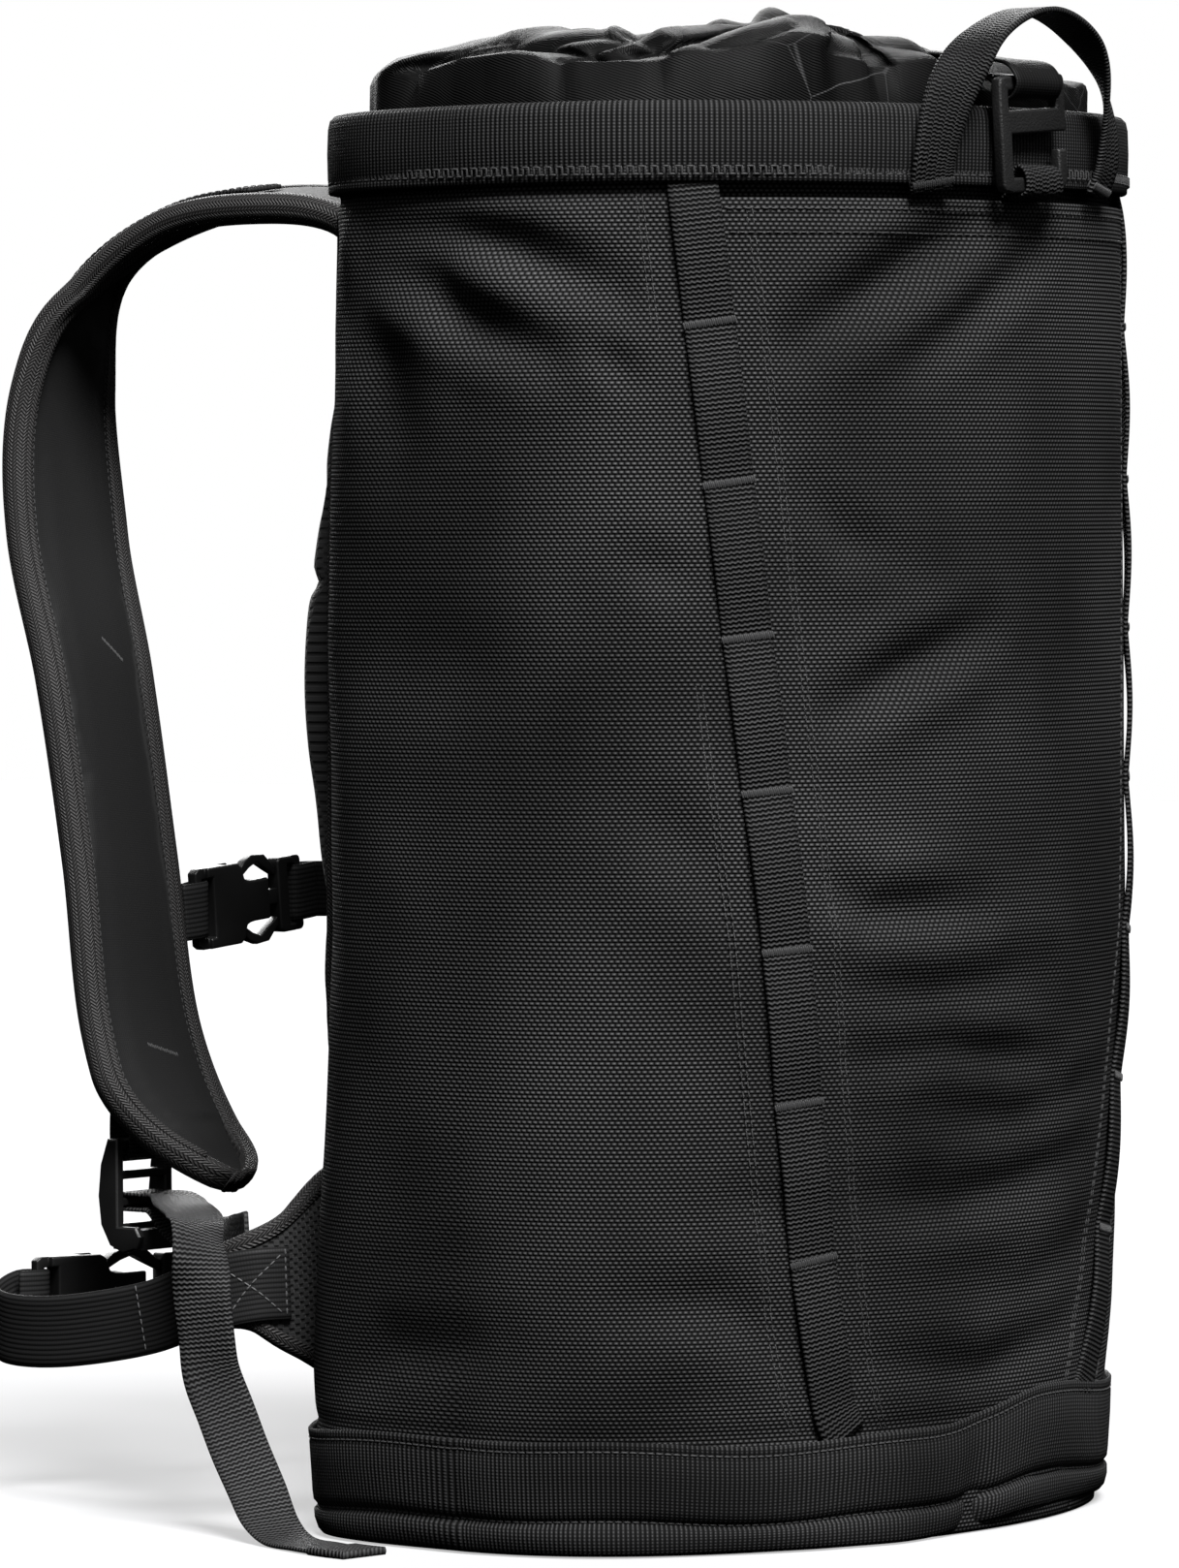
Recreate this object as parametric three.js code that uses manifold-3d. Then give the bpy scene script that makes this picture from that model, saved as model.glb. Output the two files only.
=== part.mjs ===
// A soft crag and rope bag worn on the back: a stiff-rimmed upright sack with a gathered collar,
// daisy chains, a haul loop, padded shoulder straps and a webbing hip belt.
// Millimetres, +Z up. The origin is the centre of the base underside, -Y is the bag's outer face,
// +Y is the wearer's side and -X is the wearer's left.
import * as THREE from "three";
import { mergeVertices } from "three/addons/utils/BufferGeometryUtils.js";
import Module from "manifold-3d";

const wasm = await Module();
wasm.setup();

// ---- Driving dimensions ----

const BAG_HEIGHT = 480; // floor to rim
const FABRIC = 3; // body wall: outer fabric, coating and lining
const POCKET_FABRIC = 1.8;
const WEB = 1.6; // webbing thickness
const GAP = 0.4; // between pieces that touch on the real bag
const NARROW_WEB = 20; // adjusters, sternum strap, keeper
const CHAIN_WEB = 17; // daisy chains and haul loop
const WIDE_WEB = 25; // hip belt and top strap
const RIM_BAND = 26.5; // visible height of the folded rim webbing
const BASE_BAND = 38; // height of the base webbing
const STRAP_WIDTH = 54;
const STRAP_PAD = 8; // shoulder strap thickness
const BACK_SEAM_X = 122; // where the side panels meet the back panel
const ROUND_STEPS = 48; // segments round a closed band

// The bag's plan section is rounded at the front and squarer at the back. Each station gives its
// half width, its depth to the front and to the back, and how square its back is.
const STATIONS = [
  { z: 0, half: 148, front: 100, back: 98, square: 4 },
  { z: BASE_BAND, half: 151, front: 104, back: 101, square: 4 },
  { z: 205, half: 149, front: 120, back: 101, square: 3.3 },
  { z: BAG_HEIGHT, half: 146, front: 121, back: 101, square: 3 },
];
const FRONT_SQUARE = 2.05;

// ---- Materials ----

const material = (color, roughness, metalness = 0) =>
  new THREE.MeshStandardMaterial({ color, roughness, metalness });
const ballistic = () => material(0x17181a, 0.62);
const webbing = () => material(0x1b1b1c, 0.7);
const padding = () => material(0x1c1d1f, 0.85);
const shell = () => material(0x232427, 0.45);
const plastic = () => material(0x101011, 0.42);
const steel = () => material(0x8f9296, 0.35, 0.9);

// ---- Closed solids from rings of points ----

const { degToRad, lerp, smoothstep } = THREE.MathUtils;
const vec = (x, y, z) => new THREE.Vector3(x, y, z);

// Turns every face round if the surface encloses a negative volume.
function faceOutward(geometry) {
  const p = geometry.getAttribute("position");
  const index = geometry.index.array;
  const corner = (i) => vec().fromBufferAttribute(p, index[i]);
  let volume = 0;
  for (let i = 0; i < index.length; i += 3) {
    volume += corner(i).dot(corner(i + 1).cross(corner(i + 2)));
  }
  if (volume < 0) {
    for (let i = 0; i < index.length; i += 3) {
      [index[i], index[i + 1]] = [index[i + 1], index[i]];
    }
  }
  geometry.computeVertexNormals();
  return geometry;
}

// Joins rings of equal length side by side. An open loft is capped at both ends by strips: a
// ring runs along one face of the sheet and back along the other, so opposite points pair up.
function loft(rings, closed = false) {
  const size = rings[0].length;
  const count = rings.length;
  const index = [];
  const quad = (a, b, c, d) => index.push(a, b, c, a, c, d);
  const sections = closed ? count : count - 1;
  for (let r = 0; r < sections; r++) {
    const next = (r + 1) % count;
    for (let i = 0; i < size; i++) {
      const j = (i + 1) % size;
      quad(r * size + i, r * size + j, next * size + j, next * size + i);
    }
  }
  if (!closed) {
    const last = (count - 1) * size;
    for (let i = 0; i < size / 2 - 1; i++) {
      const back = size - 1 - i;
      quad(back, back - 1, i + 1, i);
      quad(last + i, last + i + 1, last + back - 1, last + back);
    }
  }
  const geometry = new THREE.BufferGeometry().setFromPoints(rings.flat());
  geometry.setIndex(index);
  return faceOutward(geometry);
}

const smoothPath = (points) => new THREE.CatmullRomCurve3(points, false, "centripetal");

// Points along a path with the width direction and the face normal at each. `across` is one
// direction, or one for each control point so that the ribbon twists.
function frames(points, across, steps) {
  const curve = smoothPath(points);
  const widths = Array.isArray(across) ? smoothPath(across) : null;
  return Array.from({ length: steps + 1 }, (_, i) => {
    const t = i / steps;
    const tangent = curve.getTangent(t);
    const wide = widths ? widths.getPoint(t) : across.clone();
    wide.addScaledVector(tangent, -wide.dot(tangent)).normalize();
    return { t, at: curve.getPoint(t), wide, normal: vec().crossVectors(tangent, wide) };
  });
}

const offsetPoint = (f, side, out) =>
  f.at.clone().addScaledVector(f.wide, side).addScaledVector(f.normal, out);

// A flat webbing of rectangular section along a path.
function ribbon(points, across, width, { steps = 24, thickness = WEB } = {}) {
  const w = width / 2;
  const h = thickness / 2;
  return loft(
    frames(points, across, steps).map((f) => [
      offsetPoint(f, -w, h),
      offsetPoint(f, w, h),
      offsetPoint(f, w, -h),
      offsetPoint(f, -w, -h),
    ]),
  );
}

// ---- Booleans ----

function toSolid(geometry) {
  const bare = geometry.clone();
  bare.deleteAttribute("normal");
  bare.deleteAttribute("uv");
  const merged = mergeVertices(bare, 1e-4);
  return new wasm.Manifold(
    new wasm.Mesh({
      numProp: 3,
      vertProperties: new Float32Array(merged.attributes.position.array),
      triVerts: new Uint32Array(merged.index.array),
    }),
  );
}

function fromSolid(solid) {
  const mesh = solid.getMesh();
  const geometry = new THREE.BufferGeometry();
  geometry.setAttribute("position", new THREE.BufferAttribute(mesh.vertProperties, 3));
  geometry.setIndex(new THREE.BufferAttribute(mesh.triVerts, 1));
  geometry.computeVertexNormals();
  return geometry;
}

const cut = (geometry, ...tools) =>
  fromSolid(tools.reduce((left, tool) => left.subtract(toSolid(tool)), toSolid(geometry)));
const join = (geometry, ...others) =>
  fromSolid(others.reduce((sum, other) => sum.add(toSolid(other)), toSolid(geometry)));

const block = (x0, x1, y0, y1, z0, z1) =>
  new THREE.BoxGeometry(x1 - x0, y1 - y0, z1 - z0).translate(
    (x0 + x1) / 2,
    (y0 + y1) / 2,
    (z0 + z1) / 2,
  );

// A flat plate with softened edges, centred on z = 0.
function plate(shape, thickness, edge = 0.6) {
  return new THREE.ExtrudeGeometry(shape, {
    depth: thickness - 2 * edge,
    bevelThickness: edge,
    bevelSize: edge,
    bevelOffset: -edge,
    bevelSegments: 1,
    curveSegments: 2,
  }).translate(0, 0, edge - thickness / 2);
}

function roundedRect(x0, y0, x1, y1, r) {
  const outline = new THREE.Shape();
  outline.absarc(x1 - r, y0 + r, r, -Math.PI / 2, 0);
  outline.absarc(x1 - r, y1 - r, r, 0, Math.PI / 2);
  outline.absarc(x0 + r, y1 - r, r, Math.PI / 2, Math.PI);
  outline.absarc(x0 + r, y0 + r, r, Math.PI, Math.PI * 1.5);
  outline.closePath();
  return outline;
}

const slotHole = (x0, y0, x1, y1) =>
  new THREE.Path([
    new THREE.Vector2(x0, y0),
    new THREE.Vector2(x1, y0),
    new THREE.Vector2(x1, y1),
    new THREE.Vector2(x0, y1),
  ]);

// ---- The bag's surface ----

function stationAt(z) {
  const above = Math.max(1, STATIONS.findIndex((s) => s.z >= z));
  const [a, b] = [STATIONS[above - 1], STATIONS[above]];
  const t = (z - a.z) / (b.z - a.z);
  const between = (key) => lerp(a[key], b[key], t);
  return {
    half: between("half"),
    front: between("front"),
    back: between("back"),
    square: between("square"),
  };
}

// The point at a height and an angle round the bag, `out` mm outside its skin. Angle 0 is +X,
// a quarter turn is the back, and minus a quarter turn is the front.
function skinPoint(z, angle, out = 0) {
  const s = stationAt(z);
  const [c, d] = [Math.cos(angle), Math.sin(angle)];
  const n = d < 0 ? FRONT_SQUARE : s.square;
  const depth = d < 0 ? s.front : s.back;
  const [u, v] = [Math.abs(c) ** (2 / n), Math.abs(d) ** (2 / n)];
  const outward = vec(
    (Math.sign(c) * u ** (n - 1)) / s.half,
    (Math.sign(d) * v ** (n - 1)) / depth,
    0,
  ).normalize();
  return vec(s.half * Math.sign(c) * u, depth * Math.sign(d) * v, z).addScaledVector(outward, out);
}

// Half width between the two daisy chain seams, which close in towards the base.
const SEAM_TOP = BAG_HEIGHT - RIM_BAND;
const seamX = (z) =>
  64.6 + 52 * Math.max(0, (Math.min(z, SEAM_TOP) - BASE_BAND) / (SEAM_TOP - BASE_BAND)) ** 0.6;
const frontSeam = (z) => Math.acos((seamX(z) / stationAt(z).half) ** (FRONT_SQUARE / 2));
const backSeam = (z) => {
  const s = stationAt(z);
  return Math.acos((BACK_SEAM_X / s.half) ** (s.square / 2));
};

const levels = (low, high, count) =>
  Array.from({ length: count + 1 }, (_, i) => lerp(low, high, i / count));

// A panel of fabric wrapped round the bag between two angles, each a function of height.
function wrappedPanel(from, to, heights, outer, inner, steps) {
  return loft(
    heights.map((z) => {
      const arc = (out) =>
        levels(from(z), to(z), steps).map((angle) => skinPoint(z, angle, out));
      return [...arc(outer(z)), ...arc(inner(z)).reverse()];
    }),
  );
}

// A band that runs all the way round, from its profile of [out, z] points.
function closedBand(profile) {
  return loft(
    levels(0, 2 * Math.PI, ROUND_STEPS)
      .slice(0, -1)
      .map((angle) => profile.map(([out, z]) => skinPoint(z, angle, out))),
    true,
  );
}

const SEAM_GAP = 0.0035; // half the angle between two panels at a seam
const PANEL_TOP = BAG_HEIGHT - 3;
const PANEL_BOTTOM = 0.4;
const PANEL_LEVELS = [PANEL_BOTTOM, BASE_BAND, 90, 205, 340];

function sidePanel(side) {
  const left = side < 0;
  const front = (z) => frontSeam(z) - SEAM_GAP;
  const back = (z) => backSeam(z) - SEAM_GAP;
  const from = left ? (z) => Math.PI - back(z) : (z) => -front(z);
  const to = left ? (z) => Math.PI + front(z) : back;
  const heights = [...PANEL_LEVELS, SEAM_TOP, PANEL_TOP];
  return wrappedPanel(from, to, heights, () => 0, () => -FABRIC, 16);
}

function backPanel() {
  const from = (z) => backSeam(z) + SEAM_GAP;
  const to = (z) => Math.PI - backSeam(z) - SEAM_GAP;
  const heights = [PANEL_BOTTOM, BASE_BAND, 205, PANEL_TOP];
  return wrappedPanel(from, to, heights, () => 0, () => -FABRIC, 12);
}

const frontFrom = (z) => -Math.PI + frontSeam(z) + SEAM_GAP;
const frontTo = (z) => -frontSeam(z) - SEAM_GAP;
const POCKET_DEPTH = 4.5; // from the pocket panel's face to the front wall behind it

// The front wall lies behind the pocket and comes flush with the rim above it.
function frontWall() {
  const outer = (z) => -POCKET_DEPTH * (1 - smoothstep(z, 444, SEAM_TOP));
  const heights = [...PANEL_LEVELS, 444, SEAM_TOP, PANEL_TOP];
  return wrappedPanel(frontFrom, frontTo, heights, outer, (z) => outer(z) - FABRIC, 14);
}

const POCKET_TOP = SEAM_TOP - 5;

function pocketPanel() {
  const heights = [...PANEL_LEVELS, POCKET_TOP];
  return wrappedPanel(frontFrom, frontTo, heights, () => 0, () => -POCKET_FABRIC, 14);
}

// Webbing folded over the rim: an upside-down U that holds the panels' top edges.
function rimWebbing() {
  const inside = -FABRIC - 2 * GAP;
  return closedBand([
    [2.6, SEAM_TOP],
    [2.8, BAG_HEIGHT - 2.5],
    [0.8, BAG_HEIGHT],
    [inside, BAG_HEIGHT],
    [inside - WEB, BAG_HEIGHT - 2],
    [inside - WEB, SEAM_TOP],
    [inside, SEAM_TOP],
    [inside, PANEL_TOP + GAP],
    [GAP, PANEL_TOP + GAP],
    [GAP, SEAM_TOP],
  ]);
}

// Wide webbing round the base, stitched in a groove above its lower lip.
function baseWebbing() {
  return closedBand([
    [2.6, BASE_BAND],
    [2.8, 13],
    [1.4, 11.5],
    [2.8, 10],
    [2.4, PANEL_BOTTOM],
    [GAP, PANEL_BOTTOM],
    [GAP, BASE_BAND],
  ]);
}

// A flat sheet that fills the plan section at a height, `inset` inside the skin.
function floorSheet(z0, z1, inset) {
  const outline = levels(0, 2 * Math.PI, ROUND_STEPS)
    .slice(0, -1)
    .map((angle) => skinPoint(z0, angle, -inset))
    .map((p) => new THREE.Vector2(p.x, p.y));
  return new THREE.ExtrudeGeometry(new THREE.Shape(outline), {
    depth: z1 - z0,
    bevelEnabled: false,
  }).translate(0, 0, z0);
}

const FLOOR_INSET = POCKET_DEPTH + FABRIC + 1;
const TACK_TOP = 407;
const TACK_PITCH = 51.6;

// A daisy chain lies flat at each bar tack and stands proud between them.
function daisyChain(side) {
  const heights = [];
  for (let z = BASE_BAND + 1; z < SEAM_TOP - 1; z += TACK_PITCH / 4) {
    heights.push(z);
  }
  heights.push(SEAM_TOP - 1);
  const rise = (z) => 1.2 * Math.sin((Math.PI * (TACK_TOP - z)) / TACK_PITCH) ** 2;
  return loft(
    heights.map((z) => {
      const middle = side < 0 ? Math.PI + frontSeam(z) : -frontSeam(z);
      const speed = skinPoint(z, middle + 0.01).distanceTo(skinPoint(z, middle)) / 0.01;
      const reach = CHAIN_WEB / 2 / speed;
      const row = (out) => [-reach, 0, reach].map((d) => skinPoint(z, middle + d, out));
      const low = GAP + rise(z);
      return [...row(low + WEB), ...row(low).reverse()];
    }),
  );
}

// A plastic sheet that stiffens the back, just inside the back panel.
function frameSheet() {
  const from = () => 0.95;
  const to = () => Math.PI - 0.95;
  return wrappedPanel(from, to, [30, 205, 440], () => -FABRIC - 1, () => -FABRIC - 2.6, 12);
}

// The crowned pad on the back panel, fullest between the shoulder blades.
const PAD_LOW = 132;
const PAD_HIGH = 402;
const PAD_HALF = 112;
const PAD_GAP = 1.2;
const PAD_SWELL = 9; // extra thickness of the pad in the small of the back
const PAD_SWELL_Z = 290;

function backPad() {
  const columns = levels(-1, 1, 10);
  const rows = [0, 0.04, 0.14, 0.3, 0.44, 0.58, 0.72, 0.86, 0.96, 1];
  return loft(
    rows.map((v) => {
      const z = lerp(PAD_LOW, PAD_HIGH, v);
      const s = stationAt(z);
      const half = PAD_HALF * (1 - 0.1 * (2 * v - 1) ** 6);
      const skin = (x) => s.back * (1 - (Math.abs(x) / s.half) ** s.square) ** (1 / s.square);
      const swell = PAD_SWELL * Math.exp(-(((z - PAD_SWELL_Z) / 55) ** 2));
      const crown = (u) =>
        3 + swell + 7 * (1 - Math.abs(u) ** 6) * (1 - Math.abs(2 * v - 1) ** 6) + 3 * Math.abs(u) ** 3;
      const edge = columns.map((u) => vec(u * half, skin(u * half) + PAD_GAP, z));
      const face = columns.map((u) => vec(u * half, skin(u * half) + PAD_GAP + crown(u), z));
      return [...face, ...edge.reverse()];
    }),
  );
}

// ---- Collar ----

const COLLAR_ROOT = 456;
const COLLAR_CENTRE_Y = 2;
const MOUTH_SCALE = 0.19; // the gathered mouth, as a share of the rim's section
const COLLAR_WALL = 2.2;
const COLLAR_STEPS = 38;

// Height of the gathered collar at a share of the rim section and an angle, with its folds
// pressed down under the top strap, which runs front to back.
function collarHeight(share, angle) {
  const fold = 4.5 * Math.sin(5 * angle + 0.6) + 2.5 * Math.sin(9 * angle + 2);
  const rise = 26 * Math.sqrt(Math.max(0, 1 - ((share - 0.55) / 0.41) ** 2));
  const height = 484 + rise + fold * smoothstep(share, 0.2, 0.6) * smoothstep(0.97 - share, 0, 0.2);
  const x = share * 146 * Math.cos(angle);
  const underStrap = 498.5 - 14 * smoothstep(share, 0.75, 0.94);
  return lerp(height, Math.min(height, underStrap), 1 - smoothstep(Math.abs(x), 17, 34));
}

function collar() {
  const shares = [0.92, 0.92, 0.9, 0.8, 0.62, 0.44, 0.3, MOUTH_SCALE];
  const point = (share, angle, z) => {
    const p = skinPoint(BAG_HEIGHT, angle);
    return vec(p.x * share, (p.y - COLLAR_CENTRE_Y) * share + COLLAR_CENTRE_Y, z);
  };
  const outer = (angle) =>
    shares.map((share, i) => {
      const z = i === 0 ? COLLAR_ROOT : i === 1 ? 478 : collarHeight(share, angle);
      return point(share, angle, z);
    });
  const inner = (angle) =>
    shares.map((share, i) => {
      const inset = COLLAR_WALL / 130;
      const z = i === 0 ? COLLAR_ROOT : i === 1 ? 477 : collarHeight(share, angle) - COLLAR_WALL;
      return point(share - inset * Math.max(0, 1 - i / 4), angle, z);
    });
  return loft(
    levels(0, 2 * Math.PI, COLLAR_STEPS)
      .slice(0, -1)
      .map((angle) => [...outer(angle), ...inner(angle).reverse()]),
    true,
  );
}

// ---- Drawcord and cord lock, tucked into the collar's mouth ----

const CORD = 3;
const CORD_PITCH = 3.6; // between the two strands through the lock
const LOCK = { radius: 8.5, length: 20, y: COLLAR_CENTRE_Y, z: 468 };
const PLUNGER_TRAVEL = 4;
const ROUND_CORD = 6; // sides of a cord's section

// A round cord of a given diameter that closes on itself along a ring of [centre, outward].
function cordRing(stations, diameter) {
  return loft(
    stations.map(([middle, outward]) =>
      levels(0, 2 * Math.PI, ROUND_CORD)
        .slice(0, -1)
        .map((t) =>
          middle
            .clone()
            .addScaledVector(outward, (diameter / 2) * Math.cos(t))
            .add(vec(0, 0, (diameter / 2) * Math.sin(t))),
        ),
    ),
    true,
  );
}

function drawcordRing() {
  const inset = CORD / 2 + 1;
  const a = skinPoint(BAG_HEIGHT, 0).x * MOUTH_SCALE - inset;
  const b = -skinPoint(BAG_HEIGHT, -Math.PI / 2).y * MOUTH_SCALE - inset;
  const stations = levels(0, 2 * Math.PI, 22)
    .slice(0, -1)
    .map((turn) => [
      vec(a * Math.cos(turn), COLLAR_CENTRE_Y + b * Math.sin(turn), 489),
      vec(Math.cos(turn) / a, Math.sin(turn) / b, 0).normalize(),
    ]);
  return cordRing(stations, CORD);
}

// Both strands come down from the ring's front, pass through the lock and meet in a loop.
function drawcordTail() {
  const strand = CORD_PITCH / 2;
  const side = (x) => [
    vec(x, LOCK.y - 16.5, 485),
    vec(x, LOCK.y - 15.5, 476),
    vec(x, LOCK.y - 12, LOCK.z),
    vec(x, LOCK.y, LOCK.z),
    vec(x, LOCK.y + 11, LOCK.z),
  ];
  const loop = vec(0, LOCK.y + 17, LOCK.z - 1);
  const curve = new THREE.CatmullRomCurve3([...side(-strand), loop, ...side(strand).reverse()]);
  const section = new THREE.Shape().absarc(0, 0, CORD / 2 - 0.05, 0, 2 * Math.PI);
  return new THREE.ExtrudeGeometry(section, { steps: 34, extrudePath: curve, curveSegments: 3 });
}

const upright = (r0, r1, length) =>
  new THREE.CylinderGeometry(r1, r0, length, 16).rotateX(Math.PI / 2);
const cordSlot = (z0, z1) =>
  block(-CORD_PITCH / 2 - 2.1, CORD_PITCH / 2 + 2.1, -12, 12, z0, z1);

function lockBarrel() {
  const body = upright(LOCK.radius, LOCK.radius, LOCK.length);
  const bore = upright(6, 6, LOCK.length).translate(0, 0, 1.5);
  return cut(body, bore, cordSlot(-2.2, 2.2)).translate(0, LOCK.y, LOCK.z);
}

// The plunger's slot is longer than the cords are thick by its travel.
function lockPlunger() {
  const stem = upright(5.5, 5.5, 14).translate(0, 0, 4.5);
  const head = upright(5.5, 4.6, 4).translate(0, 0, 13.4);
  return cut(join(stem, head), cordSlot(-1.8, 1.8 + PLUNGER_TRAVEL)).translate(0, LOCK.y, LOCK.z);
}

function lockSpring() {
  const turns = 3;
  const points = levels(0, turns, turns * 8).map((t) => {
    const angle = 2 * Math.PI * t;
    return vec(4 * Math.cos(angle), 4 * Math.sin(angle), -8 + (5 * t) / turns);
  });
  const section = new THREE.Shape().absarc(0, 0, 0.35, 0, 2 * Math.PI);
  return new THREE.ExtrudeGeometry(section, {
    steps: 36,
    extrudePath: new THREE.CatmullRomCurve3(points),
    curveSegments: 2,
  }).translate(0, LOCK.y, LOCK.z);
}

// ---- Haul loop, keeper, hook and top strap on the front ----

const HAUL_ROOT_X = 46;
const RIM_FRONT = STATIONS[3].front + 2.9; // how far the rim band stands forward

function haulLoop() {
  const half = (side) => [
    vec(side * HAUL_ROOT_X, -119.2, SEAM_TOP - 2.6),
    vec(side * (HAUL_ROOT_X + 2), -122.4, SEAM_TOP + 8),
    vec(side * (HAUL_ROOT_X - 3), -125.5, SEAM_TOP + 30),
    vec(side * 27, -128, 503),
  ];
  const twist = [vec(-1, 0.27, 0), vec(-1, 0.27, 0), vec(-0.85, 0.6, 0), vec(-0.35, 1, -0.1)];
  const route = [...half(-1), vec(0, -129, 512), ...half(1).reverse()];
  const mirrored = twist.map((v) => vec(-v.x, v.y, v.z)).reverse();
  return ribbon(route, [...twist, vec(0, 1, 0), ...mirrored], CHAIN_WEB, { steps: 30, thickness: 2 });
}

const HOOK_Y = -RIM_FRONT - 4.3; // middle of the hook's thickness
const HOOK_THICK = 4.2;
const HOOK_LOW = 451.5;
const HOOK_SLOT_X = -4.2; // middle of the hook's strap slot

// Sewn behind the pocket hem, over the hook's bottom bar and back down to the hem.
function keeperLoop() {
  const path = [
    [-120.6, POCKET_TOP + 0.5],
    [-123.2, POCKET_TOP + 2.4],
    [HOOK_Y + 3, POCKET_TOP + 5.6],
    [HOOK_Y + 3, HOOK_LOW + 5.6],
    [HOOK_Y, HOOK_LOW + 8.4],
    [HOOK_Y - 3.1, HOOK_LOW + 5.6],
    [HOOK_Y - 3.1, HOOK_LOW - 0.4],
    [-123.4, POCKET_TOP + 0.5],
  ].map(([y, z]) => vec(0, y, z));
  return ribbon(path, vec(1, 0, 0), NARROW_WEB, { steps: 22, thickness: 1.2 });
}

// A flat hook with a slot for the top strap and a side gate: its left rail runs down to the
// bottom bar, which turns up into a short tip, with a gap under the cross plate to unhook it.
function topHook() {
  const outline = new THREE.Shape();
  outline.moveTo(-18, 3);
  outline.quadraticCurveTo(-18, 0, -13, 0);
  outline.lineTo(13, 0);
  outline.quadraticCurveTo(18, 0, 18, 4);
  outline.lineTo(18, 13.5);
  outline.lineTo(13.4, 13.5);
  outline.lineTo(13.4, 5);
  outline.lineTo(-12, 5);
  outline.lineTo(-12, 19.5);
  outline.lineTo(18, 19.5);
  outline.lineTo(18, 37);
  outline.quadraticCurveTo(18, 39, 15, 39);
  outline.lineTo(-15, 39);
  outline.quadraticCurveTo(-18, 39, -18, 36);
  outline.holes.push(slotHole(-13.2, 27.5, 13.2, 34));
  const tilt = degToRad(-4);
  return plate(outline, HOOK_THICK)
    .rotateX(Math.PI / 2)
    .rotateY(tilt)
    .translate(-2, HOOK_Y, HOOK_LOW);
}

// From the back panel up over the rim and the collar to the hook's slot, then back on itself.
function topStrap() {
  const bar = { y: HOOK_Y, z: HOOK_LOW + 36.5 };
  const path = [
    [0, 103.2, 438],
    [0, 104.6, 450],
    [0, 106.2, 462],
    [0, 106, 476],
    [0, 101, 486],
    [0, 84, 497],
    [0, 50, 502],
    [0, 0, 503],
    [-1, -50, 502.5],
    [-3, -90, 499],
    [HOOK_SLOT_X, -114, 496],
    [HOOK_SLOT_X, bar.y - 0.4, bar.z + 5.6],
    [HOOK_SLOT_X, bar.y - 4.6, bar.z + 0.4],
    [HOOK_SLOT_X, bar.y - 4.6, bar.z - 2],
    [HOOK_SLOT_X, bar.y - 1.6, bar.z - 5.8],
    [HOOK_SLOT_X, bar.y + 1.4, bar.z - 5.4],
    [HOOK_SLOT_X, bar.y + 4, bar.z - 3.6],
    [HOOK_SLOT_X, bar.y + 6.4, bar.z + 0.6],
    [HOOK_SLOT_X, -112, 491],
  ].map(([x, y, z]) => vec(x, y, z));
  return ribbon(path, vec(1, 0, 0), WIDE_WEB, { steps: 60, thickness: 1.3 });
}

// ---- Shoulder straps ----

// A strap's centreline from its root under the rim to its tip, for x to the strap's own side.
// The left strap stands away from the back, and the right one has slumped outward.
const STRAP_ROOT = [
  [44, 107.5, 434],
  [47, 122, 448],
];
const STRAP_BOW = {
  left: [
    [51, 158, 454.5],
    [55, 204, 450],
    [62, 243, 427],
    [69, 252, 391],
    [77, 244, 340],
    [86, 223, 288],
  ],
  right: [
    [58, 154, 457],
    [76, 199, 454],
    [100, 230, 430],
    [111, 238, 391],
    [104, 233, 340],
    [95, 220, 288],
  ],
};
const STRAP_END = [
  [92, 206, 225],
  [96, 193, 166],
  [99, 175, 133],
  [102, 154, 114],
];

// How the strap's breadth turns at each of those points: in degrees towards the back, and its rise.
const STRAP_TURN = [
  [0, 0],
  [0, 0],
  [4, 0.08],
  [12, 0.15],
  [18, 0.3],
  [10, 0.15],
  [2, 0],
  [4, 0],
  [5, 0],
  [3, 0],
  [0, 0],
  [0, 0],
];

function strapPath(side) {
  const bow = side < 0 ? STRAP_BOW.left : STRAP_BOW.right;
  return [...STRAP_ROOT, ...bow, ...STRAP_END].map(([x, y, z]) => vec(side * x, y, z));
}

const ACROSS_X = vec(1, 0, 0);

// A strap's breadth directions: its inner edge stands further back and higher than its outer edge.
function strapBreadths(side) {
  return STRAP_TURN.map(([degrees, rise]) => {
    const turn = THREE.MathUtils.degToRad(degrees);
    return vec(Math.cos(turn), -side * Math.sin(turn), -side * rise);
  });
}

const STRAP_STEPS = 28;

// Half widths of a strap at a share of its length: the outer edge curves in to the tip.
function strapEdges(t) {
  const root = lerp(24, STRAP_WIDTH / 2, smoothstep(t, 0, 0.12));
  const inner = root * (1 - 0.25 * smoothstep(t, 0.97, 1));
  const outer = root * (1 - 0.95 * smoothstep(t, 0.9, 1.02));
  return { inner, outer };
}

function shoulderStrap(side) {
  return loft(
    frames(strapPath(side), strapBreadths(side), STRAP_STEPS).map((f) => {
      const { inner, outer } = strapEdges(f.t);
      const [low, high] = side < 0 ? [-outer, inner] : [-inner, outer];
      const soft = 3;
      const h = STRAP_PAD / 2;
      return [
        offsetPoint(f, low, h / 2),
        offsetPoint(f, low + soft, h),
        offsetPoint(f, high - soft, h),
        offsetPoint(f, high, h / 2),
        offsetPoint(f, high, -h / 2),
        offsetPoint(f, high - soft, -h),
        offsetPoint(f, low + soft, -h),
        offsetPoint(f, low, -h / 2),
      ];
    }),
  );
}

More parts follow.
